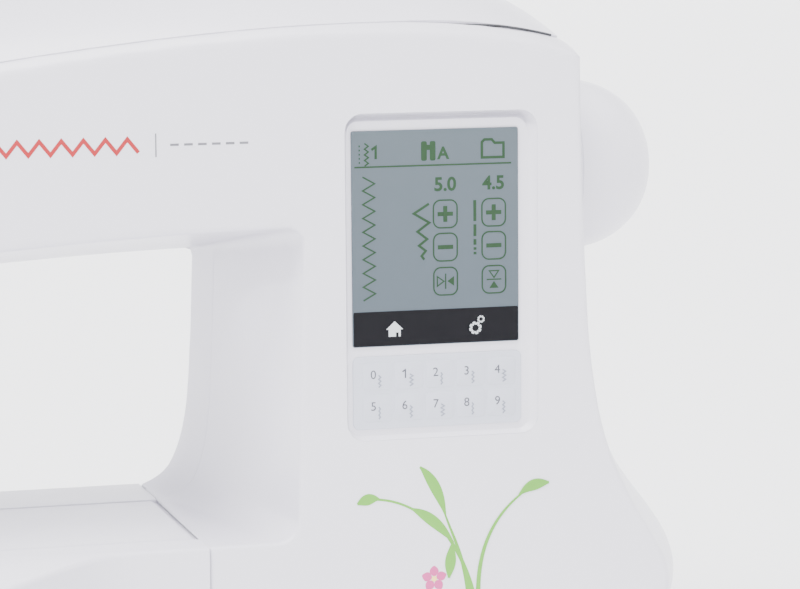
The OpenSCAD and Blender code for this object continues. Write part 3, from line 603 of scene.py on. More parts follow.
class Graph:
    """A material's node tree, built a few nodes at a time."""

    def __init__(self, name):
        self.material = bpy.data.materials.new(name)
        self.material.use_nodes = True
        self.tree = self.material.node_tree
        self.tree.nodes.clear()
        self.out = self.tree.nodes.new("ShaderNodeOutputMaterial")
        self.shader = self.tree.nodes.new("ShaderNodeBsdfPrincipled")
        self.link(self.shader.outputs[0], self.out.inputs["Surface"])
        self.place = self.tree.nodes.new("ShaderNodeTexCoord").outputs["Object"]

    def link(self, a, b):
        self.tree.links.new(a, b)

    def set(self, **values):
        for key, value in values.items():
            self.shader.inputs[key.replace("_", " ").title().replace("Ior", "IOR")].default_value = value
        return self

    def colour(self, factor, stops):
        self.link(self.between(factor, stops), self.shader.inputs["Base Color"])

    def rough(self, factor, low, high):
        self.link(self.span(factor, low, high), self.shader.inputs["Roughness"])

    def noise(self, scale, detail=3.0, rough=0.5, stretch=None):
        """Noise with a pattern size of 1/scale metres."""
        source = self.place
        if stretch:
            mapping = self.tree.nodes.new("ShaderNodeMapping")
            mapping.inputs["Scale"].default_value = stretch
            self.link(source, mapping.inputs["Vector"])
            source = mapping.outputs["Vector"]
        node = self.tree.nodes.new("ShaderNodeTexNoise")
        node.inputs["Scale"].default_value = scale
        node.inputs["Detail"].default_value = detail
        node.inputs["Roughness"].default_value = rough
        self.link(source, node.inputs["Vector"])
        return node.outputs["Fac"]

    def between(self, factor, stops):
        ramp_node = self.tree.nodes.new("ShaderNodeValToRGB")
        ramp_node.color_ramp.elements[0].position = stops[0][0]
        ramp_node.color_ramp.elements[0].color = stops[0][1]
        ramp_node.color_ramp.elements[1].position = stops[-1][0]
        ramp_node.color_ramp.elements[1].color = stops[-1][1]
        for position, colour in stops[1:-1]:
            ramp_node.color_ramp.elements.new(position).color = colour
        self.link(factor, ramp_node.inputs["Fac"])
        return ramp_node.outputs["Color"]

    def span(self, factor, low, high):
        node = self.tree.nodes.new("ShaderNodeMapRange")
        node.inputs["To Min"].default_value = low
        node.inputs["To Max"].default_value = high
        self.link(factor, node.inputs["Value"])
        return node.outputs["Result"]

    def bump(self, height, strength, distance):
        node = self.tree.nodes.new("ShaderNodeBump")
        node.inputs["Strength"].default_value = strength
        node.inputs["Distance"].default_value = distance
        self.link(height, node.inputs["Height"])
        self.link(node.outputs["Normal"], self.shader.inputs["Normal"])


def shade(colour, factor):
    """A colour made darker or paler, with full alpha."""
    return (*[min(1.0, c * factor) for c in colour], 1.0)


def plastic(name, colour, rough=0.35, grain=900.0, depth=0.00004, spread=0.03, coat=0.0, sheen=0.5):
    """Moulded plastic: fine grain, faint flow marks and a slightly uneven gloss."""
    g = Graph(name)
    g.set(specular_ior_level=sheen, coat_weight=coat, coat_roughness=0.12)
    g.colour(g.noise(9.0, 2.0), [(0.3, shade(colour, 1 - spread)), (0.7, shade(colour, 1 + spread))])
    g.rough(g.noise(60.0, 4.0), rough - 0.05, rough + 0.07)
    g.bump(g.noise(grain, 2.0), 0.25, depth)
    return g.material


def metal(name, colour, rough=0.28, stretch=(1, 1, 14), scale=400.0, spread=0.08, depth=0.00002):
    """Machined metal: fine lines along one axis and cloudy wear."""
    g = Graph(name)
    g.set(metallic=1.0)
    lines = g.noise(scale, 3.0, 0.6, stretch)
    g.colour(g.noise(35.0, 4.0), [(0.25, shade(colour, 1 - spread)), (0.75, shade(colour, 1 + spread))])
    g.rough(lines, rough - 0.07, rough + 0.12)
    g.bump(lines, 0.2, depth)
    return g.material


def rubber(name, colour):
    """Dull rubber with a coarse, cloudy skin."""
    g = Graph(name)
    g.set(specular_ior_level=0.3)
    g.colour(g.noise(120.0, 5.0), [(0.3, shade(colour, 0.8)), (0.7, shade(colour, 1.25))])
    g.rough(g.noise(300.0, 3.0), 0.62, 0.85)
    g.bump(g.noise(700.0, 4.0), 0.5, 0.0001)
    return g.material


def clear(name, colour):
    """Tinted see-through plastic."""
    g = Graph(name)
    g.set(transmission_weight=0.75, ior=1.49)
    g.colour(g.noise(20.0), [(0.3, shade(colour, 0.97)), (0.7, shade(colour, 1.03))])
    g.rough(g.noise(80.0), 0.04, 0.12)
    return g.material


def glass_screen(name, low, high, z_low, z_high):
    """Lit liquid-crystal glass, a little paler towards its upper edge."""
    g = Graph(name)
    g.set(coat_weight=0.2, coat_roughness=0.2, specular_ior_level=0.3)
    split = g.tree.nodes.new("ShaderNodeSeparateXYZ")
    g.link(g.place, split.inputs[0])
    up = g.tree.nodes.new("ShaderNodeMapRange")
    up.inputs["From Min"].default_value = z_low * MM
    up.inputs["From Max"].default_value = z_high * MM
    g.link(split.outputs["Z"], up.inputs["Value"])
    g.colour(up.outputs["Result"], [(0.0, shade(low, 1)), (1.0, shade(high, 1))])
    g.rough(g.noise(2500.0, 1.0), 0.3, 0.42)
    return g.material


def circuit(name):
    """Green board with faint darker and paler tracks."""
    g = Graph(name)
    g.set(specular_ior_level=0.5)
    g.colour(g.noise(260.0, 6.0, 0.7),
             [(0.42, (0.005, 0.07, 0.03, 1)), (0.5, (0.01, 0.14, 0.06, 1)), (0.6, (0.02, 0.2, 0.09, 1))])
    g.rough(g.noise(90.0), 0.3, 0.5)
    return g.material


WHITE = (0.735, 0.72, 0.785)
FINISH = {
    "white_plastic": plastic("white_plastic", WHITE, 0.33, spread=0.012, depth=0.00002, coat=0.15),
    "grey_plastic": plastic("grey_plastic", (0.62, 0.63, 0.67), 0.38),
    "clear_plastic": clear("clear_plastic", (0.86, 0.9, 0.95)),
    "screen": glass_screen("screen", (0.060, 0.080, 0.100), (0.072, 0.094, 0.110),
                           screen_low[2], screen_high[2]),
    "keypad": plastic("keypad", (0.54, 0.56, 0.64), 0.42, spread=0.015),
    "green_plastic": plastic("green_plastic", (0.28, 0.55, 0.16), 0.32, coat=0.3),
    "black_plastic": plastic("black_plastic", (0.018, 0.018, 0.02), 0.4, spread=0.15),
    "rubber": rubber("rubber", (0.05, 0.05, 0.055)),
    "belt_rubber": rubber("belt_rubber", (0.02, 0.02, 0.022)),
    "steel": metal("steel", (0.62, 0.62, 0.63), 0.3),
    "chrome": metal("chrome", (0.78, 0.78, 0.8), 0.14, spread=0.03),
    "cast_alloy": metal("cast_alloy", (0.5, 0.5, 0.52), 0.5, (1, 1, 1), 500.0, 0.12, 0.0001),
    "bronze": metal("bronze", (0.55, 0.36, 0.16), 0.35),
    "motor_paint": plastic("motor_paint", (0.07, 0.075, 0.085), 0.5, 500.0, 0.0001, 0.1),
    "circuit_board": circuit("circuit_board"),
    "screen_ink": plastic("screen_ink", (0.026, 0.056, 0.028), 0.6, spread=0.1, sheen=0.1),
    "screen_bar": plastic("screen_bar", (0.004, 0.004, 0.006), 0.6, spread=0.12, sheen=0.15),
    "bar_ink": plastic("bar_ink", (0.55, 0.58, 0.6), 0.4, spread=0.06),
    "key_ink": plastic("key_ink", (0.07, 0.07, 0.09), 0.45, spread=0.1),
    "key_faint": plastic("key_faint", (0.26, 0.28, 0.34), 0.45, spread=0.08),
    "leaf": plastic("leaf", (0.12, 0.37, 0.035), 0.5, 300.0, spread=0.12),
    "bloom": plastic("bloom", (0.55, 0.07, 0.25), 0.5, 300.0, spread=0.12),
    "bloom_heart": plastic("bloom_heart", (0.85, 0.62, 0.2), 0.45, spread=0.15),
    "red_thread": plastic("red_thread", (0.36, 0.005, 0.01), 0.4, spread=0.15),
    "grey_print": plastic("grey_print", (0.16, 0.16, 0.18), 0.4, spread=0.1),
    "thread": plastic("thread", (0.75, 0.76, 0.8), 0.6, 3000.0, 0.0001),
    "lamp": plastic("lamp", (0.95, 0.93, 0.85), 0.3, spread=0.02),
}


def dress(obj, finish, body, *replaced, slot=None):
    """Gives a piece its finish and body, and the CAD nodes that it stands for."""
    obj.data.materials.clear()
    obj.data.materials.append(FINISH[finish])
    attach(obj, body)
    if replaced:
        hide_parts(*replaced)
    return obj


def dress_extra(name, parts, finish="white_plastic"):
    """A piece on the covers that stands for no CAD node."""
    dress(joined(name, parts), finish, "root", slot="white_plastic")


for item in frame["record"]["subparts"]:
    node = frame["nodes"][item["node"]]
    node.data.materials.clear()
    node.data.materials.append(FINISH[item["material_slot"]])


# ---- covers, lid, free arm ----

BUTTON_Z = 170.0
BUTTONS = {"start_button": (-198.0, 8.0, "start", "green_plastic"),
           "reverse_button": (-176.0, 6.0, "reverse", "grey_plastic"),
           "needle_button": (-158.0, 6.0, "needle_up_down", "grey_plastic")}
DIAL = (-85.0, 222.0, 13.0)
SLIDER = (-182.0, 194.0, 19.0)
SLOT_X = (-133.5, -112.0)
SLOT_Z = (182.0, 243.0)
SLOT_HALF = 1.9
PANEL_X = (panel_low[0] + 2, panel_high[0] - 2)
PANEL_Z = (panel_low[2] + 2, panel_high[2] - 2)
PANEL_R = 7.0
SEAM = 0.04


def front_holes(x, z):
    """Field of every opening in the front face."""
    holes = flat_box(x, z, (PANEL_X[0], PANEL_Z[0]), (PANEL_X[1], PANEL_Z[1]), PANEL_R)
    for bx, r, _, _ in BUTTONS.values():
        holes = np.minimum(holes, np.hypot(x - bx, z - BUTTON_Z) - r - 1.6)
    holes = np.minimum(holes, np.hypot(x - DIAL[0], z - DIAL[1]) - DIAL[2] - 1.6)
    holes = np.minimum(holes, flat_box(x, z, (SLIDER[0] - SLIDER[2] - 1.5, SLIDER[1] - 3.4),
                                       (SLIDER[0] + SLIDER[2] + 1.5, SLIDER[1] + 3.4), 3.3))
    for sx in SLOT_X:
        slot = flat_box(x, z, (sx - 3.0, SLOT_Z[0] - 1.2), (sx + 3.0, SLOT_Z[1] + 1.2), 2.9)
        holes = np.minimum(holes, slot)
    return holes


def rear_holes(x, z):
    """Field of the openings in the back face."""
    holes = np.full_like(x, 99.0)
    for node in ("power_inlet", "power_switch", "foot_socket"):
        low, high = cad(node)
        spare = np.array([0.4, 1.1 if node == "power_switch" else 0.4])
        holes = np.minimum(holes, flat_box(x, z, low[[0, 2]] - spare, high[[0, 2]] + spare, 0.4))
    slot_low, slot_high = cad("feed_drop_lever")
    mid_z = (slot_low[2] + slot_high[2]) / 2
    return np.minimum(holes, flat_box(x, z, (30, mid_z - 2), (60, mid_z + 2), 1.9))


def cover_cut(x, y, z):
    """Below zero where the covers have a wall."""
    tray = flat_box(x, y, tray_low[:2] - 1.0, tray_high[:2] + 1.0, 3)
    under = flat_box(x, y, *HEAD_HOLE, 4)
    sleeve = flat_box(y, z, (arm_low[1] + 3, arm_low[2] + 3), (arm_high[1] - 3, BED_Z - 3), 3)
    hub = np.hypot(y - WHEEL_YZ[0], z - WHEEL_YZ[1]) - HUB_HOLE_R
    lifter = np.hypot(y - LIFTER_YZ[0], z - LIFTER_YZ[1]) - LIFTER_HOLE_R
    cut = BASE_Z - z
    for hole, reach in ((240 - z, tray), (front_holes(x, z), y + 30), (rear_holes(x, z), 95 - y),
                        (under, np.abs(z - HEAD_Z) - 8), (sleeve, np.abs(x - SEAM_X) - 6),
                        (hub, 168 - x), (lifter, np.abs(x - HEAD_X) - 6)):
        cut = np.maximum(cut, -np.maximum(hole, reach))
    return cut


def build_covers():
    """Front and rear covers, cut apart where they meet."""
    axes = (grid(LEFT_X - 4, 238, 2.7, [(-138, -107), (17, 27), (172, 184)], 1.3),
            grid(FRONT_Y - 3, BACK_Y + 3, 2.8, [(FRONT_Y - 3, FRONT_Y + 4), (BACK_Y - 6, BACK_Y + 2)], 1.0),
            grid(0, 300, 2.7, [(74, 84)], 1.4))
    whole = clip(*surface(covers, axes), cover_cut, covers)
    front = clip(*whole, lambda x, y, z: y - SPLIT_Y + SEAM, covers)
    rear = clip(*whole, lambda x, y, z: SPLIT_Y + SEAM - y, covers)
    dress(shell("front_cover_skin", *front, covers), "white_plastic", "root", "front_cover")
    dress(shell("rear_cover_skin", *rear, covers), "white_plastic", "root", "rear_cover")


def lid_cut(x, y, z):
    """Below zero where the lid has a wall."""
    gap = 0.15 + 0.95 * ramp((x - 85) / 40)
    cut = crease(x) + LID_STEP + gap - z
    ear_x = np.minimum(*(np.abs(x - hinge) for hinge in HINGE_X)) - 13
    ears = np.maximum(ear_x, 88.5 - y)
    return np.maximum(cut, -ears)


def build_lid():
    """Hinged lid over the top."""
    axes = (grid(LEFT_X - 4, 186, 2.8), grid(FRONT_Y - 3, lid_high[1] + 3, 2.6, [(FRONT_Y - 3, -30)], 1.2),
            grid(228, lid_high[2] + 6, 2.4))
    lid = clip(*surface(lid_shell, axes), lid_cut, lid_shell)
    dress(shell("lid_skin", *lid, lid_shell, 2.2), "white_plastic", "lid", "top_lid")


def build_lid_seal():
    """Dark cord in the rubber finish that shows in the gap under the lid's front edge, at the wheel's end: painted
    shade that stands for the shadow inside the gap.
    """
    x = np.linspace(112, 164, 60)
    share = np.clip(LID_STEP / (crown(x) - crease(x)), 0, 0.98)
    y = DOME_Y[0] - DOME_Y[1] * (1 - share ** (1 / 0.9)) ** (1 / 2.2)
    path = np.stack([x, y + 0.9, crease(x) + LID_STEP - 0.6 + 1.1 * ramp((x - 120) / 26)], 1)
    # The cord's dark rubber finish is painted shade: it darkens the lid's gap where only shadow falls.
    dress(tube("painted_gap_shade_cord", path, 0.48), "rubber", "root", slot="rubber")


def free_arm_cut(x, y, z):
    """Below zero where the free arm has a wall."""
    hook = flat_box(x, y, (-175, -17), (-141, 15), 2)
    feed = flat_box(x, y, (-190, 14), (-126, 58), 2)
    top = np.maximum(np.minimum(hook, feed), BED_Z - 6 - z)
    return np.maximum(x - arm_high[0], -top)


def build_free_arm():
    """Casing of the free arm, open over the hook and the feed."""
    axes = (grid(arm_low[0] - 3, arm_high[0] + 3, 3.0, [(-200, -115)], 1.6),
            grid(arm_low[1] - 3, arm_high[1] + 3, 2.4), grid(arm_low[2] - 3, BED_Z + 3, 2.4))
    arm = clip(*surface(free_arm, axes), free_arm_cut, free_arm)
    dress(shell("free_arm_skin", *arm, free_arm), "white_plastic", "root", "free_arm_shell")


def build_table():
    """The slide-off table, its upper edge eased all round."""
    left, right = table_low[0], table_high[0] - 0.05
    front, back = table_low[1], table_high[1]
    t = np.linspace(1, 0, 40)[:, None]
    s = t * t * (3 - 2 * t)
    swell = np.hstack([-8.0 - 80.0 * t, FRONT_Y - 1 + (front - FRONT_Y + 1) * s])
    swell = np.vstack([swell, [[right, FRONT_Y - 1]]])
    pocket_x, pocket_y = arm_low[0] - 0.5, (arm_low[1] - 0.5, arm_high[1] + 0.5)
    r = 11.5
    inner = np.vstack([[[right, pocket_y[1]]], arc(pocket_x + r, pocket_y[1] - r, r, 90, 180),
                       arc(pocket_x + r, pocket_y[0] + r, r, 180, 270), [[right, pocket_y[0]]]])
    outer = np.vstack([[[right, back]], arc(left + 20, back - 20, 20, 90, 180, 14),
                       arc(left + 34, front + 34, 34, 180, 270, 20), swell])
    ring = np.vstack([outer, inner[::-1]])
    soft = np.full(len(ring), 1.0)
    soft[len(outer) - 1:] = 0.12
    soft[0] = 0.12
    pull = (inset(ring, 1.0) - ring) * soft[:, None]
    levels = eased(table_low[2], BED_Z, 2.2)
    points = [PLANES["plan"](ring + pull * d, np.full(len(ring), w)) for d, w in levels]
    table = make_mesh("table_skin", np.vstack(points), loft_faces(len(levels), len(ring)))
    sharp_by_angle(table, 40)
    dress(table, "white_plastic", "table", "extension_table")


def build_base():
    """Underside plate: a part under the free arm and a part that follows the covers' outline."""
    low, high = cad("base_pan")
    y = np.linspace(FRONT_Y + 6.5, BACK_Y - 6.5, 40)
    x = np.full(40, 250.0)
    for _ in range(8):
        x -= right_side(x, y, np.full(40, BASE_Z + 1))
    rear = np.hstack([x[:, None] - 6.5, y[:, None]])
    block = np.vstack([[[SEAM_X + 3, BACK_Y - 6.5], [SEAM_X + 3, FRONT_Y + 6.5]], rear])
    levels = [(0.6, low[2]), (0, low[2] + 0.6), (0, high[2])]
    strip = round_box((low[0], SEAM_X + 18), (arm_low[1] + 4, arm_high[1] - 4), 10, 8)
    parts = [slab("block", block, "plan", levels), slab("strip", strip, "plan", levels)]
    dress(joined("base_plate", parts), "grey_plastic", "root", "base_pan")


def build_face_cover():
    """Cover on the left end of the head, its outer edge rounded."""
    ring = round_box((face_low[1], face_high[1]), (face_low[2], face_high[2]), 12, 12)
    wide, deep = 4.5, 4
    levels = [(0, face_high[0]), (0, face_low[0] + deep)]
    for a in np.radians((20, 40, 60, 80, 90)):
        levels.append((wide * (1 - math.cos(a)), face_low[0] + deep - deep * math.sin(a)))
    dress(slab("face_cover_skin", ring, "end", levels), "white_plastic", "root", "face_cover")


def build_hinge_ears():
    """Ears on the rear cover that hold the lid's pins."""
    parts = []
    low, high = cad("lid_hinge_pins")
    mid_y, mid_z = (low[1] + high[1]) / 2, (low[2] + high[2]) / 2
    for hinge in HINGE_X:
        for side in (-1, 1):
            near, far = sorted((hinge + side * 5.5, hinge + side * 11.8))
            ring = np.vstack([arc(mid_y, mid_z, 4, 0, 180, 12), [[mid_y - 4, 262], [mid_y + 4, 262]]])
            parts.append(slab("ear", ring, "end", eased(near, far, 0.7)))
    dress_extra("hinge_ears", parts)


# ---- screen, keypad, knobs ----

def blend_slab(name, outer, inner, plane, profile):
    """A solid whose outline runs from outer to inner: each step has a share, a depth and extra depths."""
    points = [PLANES[plane](outer + t * (inner - outer), w + extra) for t, w, extra in profile]
    return sharp_by_angle(make_mesh(name, np.vstack(points), loft_faces(len(profile), len(outer))), 30)


def block(name, x, z, r, n, levels):
    """A block on the front with rounded corners."""
    return slab(name, round_box(x, z, r, n), "front", levels)


def build_bezel():
    """Sloping walls from the front face down to the floor that carries the screen and the keypad."""
    outer = round_box(PANEL_X, PANEL_Z, PANEL_R, 12)
    floor_x = (screen_low[0] - 0.9, screen_high[0] + 1.3)
    inner = round_box(floor_x, (keys_low[2] - 1.0, screen_high[2] + 2.2), 3.0, 12)
    floor_y = screen_high[1] - 0.05
    depth = floor_y - FRONT_Y
    steps = np.linspace(0, 1, 16)
    above = np.clip((outer - inset(outer, 1.0))[:, 1], 0, 1)
    profile = [(0, FRONT_Y + 6, 0 * above), (0, FRONT_Y + 0.12, 0 * above)]
    for t in steps[1:]:
        well = 4.2 * math.sin(math.pi * min(t / 0.62, 1)) * above
        profile.append((0.02 + 0.98 * t, FRONT_Y + 0.12 + (depth - 0.12) * min(t / 0.5, 1) ** 0.8, well))
    bezel = blend_slab("screen_bezel", outer, inner, "front", profile)
    dress(bezel, "white_plastic", "root", "panel_frame")


def build_screen():
    """The touch screen's glass."""
    levels = [(0, screen_high[1]), (0, screen_low[1] + 0.15), (0.15, screen_low[1])]
    glass = block("touch_screen", (screen_low[0], screen_high[0]), (screen_low[2], screen_high[2]), 0.8, 4, levels)
    dress(glass, "screen", "root", "lcd_screen")


def stroke(name, points, width, y, closed=False, thick=0.1):
    """A thin raised line on the front face along (x, z) points."""
    pts = np.array(points, float)
    if closed:
        pts = np.vstack([pts, pts[:1]])
    step = unit(np.diff(pts, axis=0))
    across = np.stack([-step[:, 1], step[:, 0]], 1)
    before = np.vstack([across[-1:] if closed else across[:1], across])
    after = np.vstack([across, across[:1] if closed else across[-1:]])
    side = unit(before + after)
    side = side / np.maximum((side * after).sum(1), 0.5)[:, None] * width / 2
    left, right = pts + side, pts - side
    n = len(pts)
    points3 = [[p[0], y - d, p[1]] for d in (0, thick) for q in (left, right) for p in q]
    faces = []
    for i in range(n - 1):
        faces += [(i, i + 1, n + i + 1, n + i), (2 * n + i, 3 * n + i, 3 * n + i + 1, 2 * n + i + 1)]
        faces += [(i, 2 * n + i, 2 * n + i + 1, i + 1), (n + i, n + i + 1, 3 * n + i + 1, 3 * n + i)]
    faces += [(0, n, 3 * n, 2 * n), (n - 1, 3 * n - 1, 4 * n - 1, 2 * n - 1)]
    return sharp_by_angle(make_mesh(name, points3, faces))


def patch(name, ring, y, thick=0.1):
    """A thin raised shape on the front face."""
    ring = np.array(ring, float)
    return slab(name, ring, "front", [(0, y), (0, y - thick)])


def one(name, height, at, width, y):
    """The figure 1, with its flag."""
    x, z = at
    stem_x = x + 0.1 * height
    points = [(x - 0.26 * height, z + 0.26 * height), (stem_x, z + 0.5 * height), (stem_x, z - 0.5 * height)]
    return stroke(name, points, width, y)


def figure(text, size, at, y):
    """One raised figure; the plain font's 1 has no flag, so it is drawn."""
    if text == "1":
        return one("figure", size * 0.68, at, 0.5, y)
    return lettering("figure", text, size, (at[0], y, at[1]))


def dashes(x, z_top, lengths, width, y):
    """Upright dashes from the top down, each with the gap that follows it."""
    parts, z = [], z_top
    for length, gap in lengths:
        parts.append(stroke("dash", [(x, z), (x, z - length)], width, y))
        z -= length + gap
    return parts


def plus_sign(x, z, y, arm=3.1, width=1.6, minus=False):
    """A plus sign, or a minus sign."""
    parts = [stroke("bar", [(x - arm, z), (x + arm, z)], width, y)]
    if not minus:
        parts.append(stroke("bar", [(x, z - arm), (x, z + arm)], width, y - 0.02))
    return parts


def mirror_sign(x, z, y, upright):
    """Two small triangles facing each other across a line."""
    parts = []
    for side in (-1, 1):
        tip = [(0.7, 0), (3.4, 1.9), (3.4, -1.9)]
        ring = [(side * a, b) if not upright else (b, side * a) for a, b in tip]
        ring = [(x + a, z + b) for a, b in ring]
        if side > 0 and not upright or side < 0 and upright:
            parts.append(patch("arrow", ring, y))
        else:
            parts.append(stroke("arrow", ring, 0.5, y, closed=True))
    line = [(x, z - 3), (x, z + 3)] if not upright else [(x - 3, z), (x + 3, z)]
    return parts + [stroke("line", line, 0.5, y)]


def header_signs(x, top, y):
    """Stitch number, presser foot and folder signs, and the line under them."""
    parts = dashes(x + 3.2, top - 5.5, [(0.7, 0.9)] * 5, 0.5, y)
    zig = [(x + 5.3 + 1.5 * (i % 2), top - 4.8 - 1.1 * i) for i in range(9)]
    parts.append(stroke("zig", zig, 0.55, y))
    parts.append(one("one", 4.7, (x + 9.3, top - 8.6), 0.95, y))
    foot_x = x + 30.9
    for toe_x in (foot_x - 1.75, foot_x + 1.75):
        toe = round_box((toe_x - 1.15, toe_x + 1.15), (top - 12.2, top - 4.6), 0.7, 4)
        parts.append(patch("toe", toe, y))
    bridge = round_box((foot_x - 1.5, foot_x + 1.5), (top - 8.0, top - 6.0), 0.3, 3)
    parts.append(patch("bridge", bridge, y - 0.02))
    parts.append(lettering("letter", "A", 6.6, (foot_x + 6.0, y, top - 9.6), bold=0.2))
    fx, fz = x + 57.0, top - 8.2
    folder = [(fx - 4.4, fz - 3.4), (fx + 4.4, fz - 3.4), (fx + 4.4, fz + 2.2), (fx + 0.8, fz + 2.2),
              (fx - 0.4, fz + 3.6), (fx - 3.4, fz + 3.6), (fx - 4.4, fz + 2.6)]
    parts.append(stroke("folder", folder, 1.0, y, closed=True))
    parts.append(stroke("divider", [(x + 1.2, top - 14.0), (x + 64.5, top - 14.0)], 0.6, y))
    return parts


def setting_signs(x, top, y):
    """The chosen stitch, its width and length, and the touch buttons under them."""
    zig = [(x + (9.2 if i % 2 else 4.4), top - 17.8 - 2.68 * i) for i in range(19)]
    parts = [stroke("stitch", zig, 0.6, y)]
    width_x, length_x = x + 37.6, x + 57.3
    parts.append(lettering("width", "5.0", 7.4, (width_x, y, top - 21.8), bold=0.2))
    parts.append(lettering("length", "4.5", 7.4, (length_x, y, top - 21.8), bold=0.2))
    turns = [(31.0, 29.0), (24.9, 32.7), (31.1, 36.4), (26.3, 39.8), (30.2, 42.8), (26.9, 45.3),
             (29.6, 47.4), (27.9, 49.4), (29.0, 50.8)]
    parts.append(stroke("wave", [(x + a, top - b) for a, b in turns], 0.95, y))
    shrinking = [(8.2, 1.3), (4.6, 1.2), (2.2, 1.0), (1.0, 0.8), (1.0, 1)]
    parts += dashes(x + 49.6, top - 28.2, shrinking, 1.15, y)
    for bx in (width_x, length_x):
        for k, bz in enumerate((top - 33.2, top - 46.2, top - 59.6)):
            ring = round_box((bx - 4.8, bx + 4.8), (bz - 5.4, bz + 5.4), 2.8, 7)
            parts.append(stroke("touch", ring, 0.55, y, closed=True))
            if k < 2:
                parts += plus_sign(bx, bz, y, minus=k == 1)
            else:
                parts += mirror_sign(bx, bz, y, bx == length_x)
    return parts


def build_screen_marks():
    """Generic stitch, foot and folder signs, figures and touch buttons."""
    at = (screen_low[0], screen_high[2], screen_low[1] - 0.01)
    dress(joined("screen_marks", header_signs(*at) + setting_signs(*at)), "screen_ink", "root", slot="screen")


def build_screen_bar():
    """Dark bar along the screen's foot, with a house and two cogs."""
    x0, y, z0 = screen_low[0], screen_low[1] - 0.01, screen_low[2]
    ring = round_box((x0 + 0.3, screen_high[0] - 0.3), (z0 + 0.3, z0 + 13.8), 0.5, 3)
    dress(joined("screen_bar", [patch("bar", ring, y, 0.06)]), "screen_bar", "root", slot="screen")
    sign_y = y - 0.06
    hx, hz = x0 + 16.8, z0 + 6.6
    roof = [(hx - 3.4, hz), (hx + 3.4, hz), (hx, hz + 3.2)]
    walls = [(hx - 2.4, hz - 2.8), (hx + 0.5, hz - 2.8), (hx + 0.5, hz - 1.2), (hx + 1.6, hz - 1.2),
             (hx + 1.6, hz - 2.8), (hx + 2.4, hz - 2.8), (hx + 2.4, hz), (hx - 2.4, hz)]
    marks = [patch("roof", roof, sign_y), patch("walls", walls, sign_y)]
    a = np.linspace(0, 2 * math.pi, 48, endpoint=False)
    for gx, gz, r in ((x0 + 49.6, z0 + 5.8, 1.9), (x0 + 51.9, z0 + 9.2, 1.1)):
        teeth = r * (1 + 0.16 * np.sign(np.sin(8 * a)))
        cog = np.stack([gx + teeth * np.cos(a), gz + teeth * np.sin(a)], 1)
        marks.append(stroke("cog", cog, r * 0.3, sign_y, closed=True))
    dress(joined("screen_bar_signs", marks), "bar_ink", "root", slot="screen")


def build_keypad():
    """A pale pad with ten low keys, a figure and a small stitch sign on each."""
    low, high = keys_low, keys_high
    levels = [(0, high[1]), (0, low[1] + 0.2), (0.2, low[1])]
    dress(block("keypad_mat", (low[0], high[0]), (low[2], high[2]), 2.5, 8, levels), "keypad", "root", "keypad")
    key_levels = [(0, low[1]), (0, low[1] - 0.1), (0.25, low[1] - 0.2)]
    columns = np.linspace(low[0] + 9.3, high[0] - 8.6, 5)
    rows = (high[2] - 7.6, low[2] + 8.6)
    keys, figures, signs = [], [], []
    for r, z in enumerate(rows):
        for c, x in enumerate(columns):
            keys.append(block("key", (x - 5.4, x + 6.2), (z - 5.6, z + 5.2), 1.6, 5, key_levels))
            at = (x - 1.2, z + 0.3)
            figures.append(figure(str(r * 5 + c), 4.9, at, low[1] - 0.2))
            swing = (0.9, 1.3, 0.6)[(r * 5 + c) % 3]
            line = [(x + 0.9 + swing * (i % 2), z + 0.2 - 0.8 * i) for i in range(7)]
            signs.append(stroke("sign", line, 0.5, low[1] - 0.2))
    dress(joined("keypad_keys", keys), "keypad", "root", slot="keypad")
    dress(joined("keypad_figures", figures), "key_ink", "root", slot="keypad")
    dress(joined("keypad_stitch_signs", signs), "key_faint", "root", slot="keypad")


def hoop(cx, cz, r, y, a):
    """Points round a place on the front, at the angles a."""
    return np.stack([cx + r * np.cos(a), np.full(len(a), y), cz + r * np.sin(a)], 1)


def collar(name, cx, cz, r, wide=1.5):
    """A ring set flush round a button's hole."""
    y = FRONT_Y
    outer, inner = r + wide, r + 0.35
    profile = [(inner, y + 3), (outer, y + 3), (outer, y - 0.05), (outer - 0.3, y - 0.3),
               (inner + 0.3, y - 0.1), (inner, y + 0.3)]
    a = np.linspace(0, 2 * math.pi, 64, endpoint=False)
    rings = [hoop(cx, cz, q, w, a) for q, w in profile + profile[:1]]
    return sharp_by_angle(make_mesh(name, np.vstack(rings), loft_faces(len(rings), 64, False)), 25)


def build_buttons():
    """Button caps, and the raised surrounds of the front's round and long holes."""
    rings = []
    for node, (bx, r, body, finish) in BUTTONS.items():
        low, high = cad(node)
        face = low[1]
        profile = [(r + 1.4, high[1] - 1), (r + 1.4, FRONT_Y + 3.2), (r, FRONT_Y + 3), (r, face + 0.9),
                   (r - 0.25, face + 0.35), (r - 0.9, face), (r * 0.6, face + 0.25), (0, face + 0.4)]
        cap = turned(node + "_cap", profile, "y", (bx, 0, BUTTON_Z), 64)
        dress(cap, finish, body, node)
        rings.append(collar("ring", bx, BUTTON_Z, r))
    rings.append(collar("ring", DIAL[0], DIAL[1], DIAL[2]))
    for sx in SLOT_X:
        hole = capsule_ring((sx, SLOT_Z[0] + SLOT_HALF), (sx, SLOT_Z[1] - SLOT_HALF), SLOT_HALF, 10)
        rings.append(lip("slot_lip", hole, 1.05))
    left, right = SLIDER[0] - SLIDER[2] + 2, SLIDER[0] + SLIDER[2] - 2
    hole = capsule_ring((left, SLIDER[1]), (right, SLIDER[1]), 2.0, 10)
    rings.append(lip("slider_lip", hole, 1.4))
    dress_extra("hole_surrounds", rings)


def lip(name, hole, wide):
    """A raised surround of even width round a long hole."""
    y = FRONT_Y
    steps = [(0, y + 3), (-wide, y + 3), (-wide, y - 0.05), (-wide + 0.3, y - 0.4), (-0.3, y - 0.4), (0, y)]
    rings = [PLANES["front"](inset(hole, d), np.full(len(hole), w)) for d, w in steps + steps[:1]]
    return sharp_by_angle(make_mesh(name, np.vstack(rings), loft_faces(len(rings), len(hole), False)), 25)


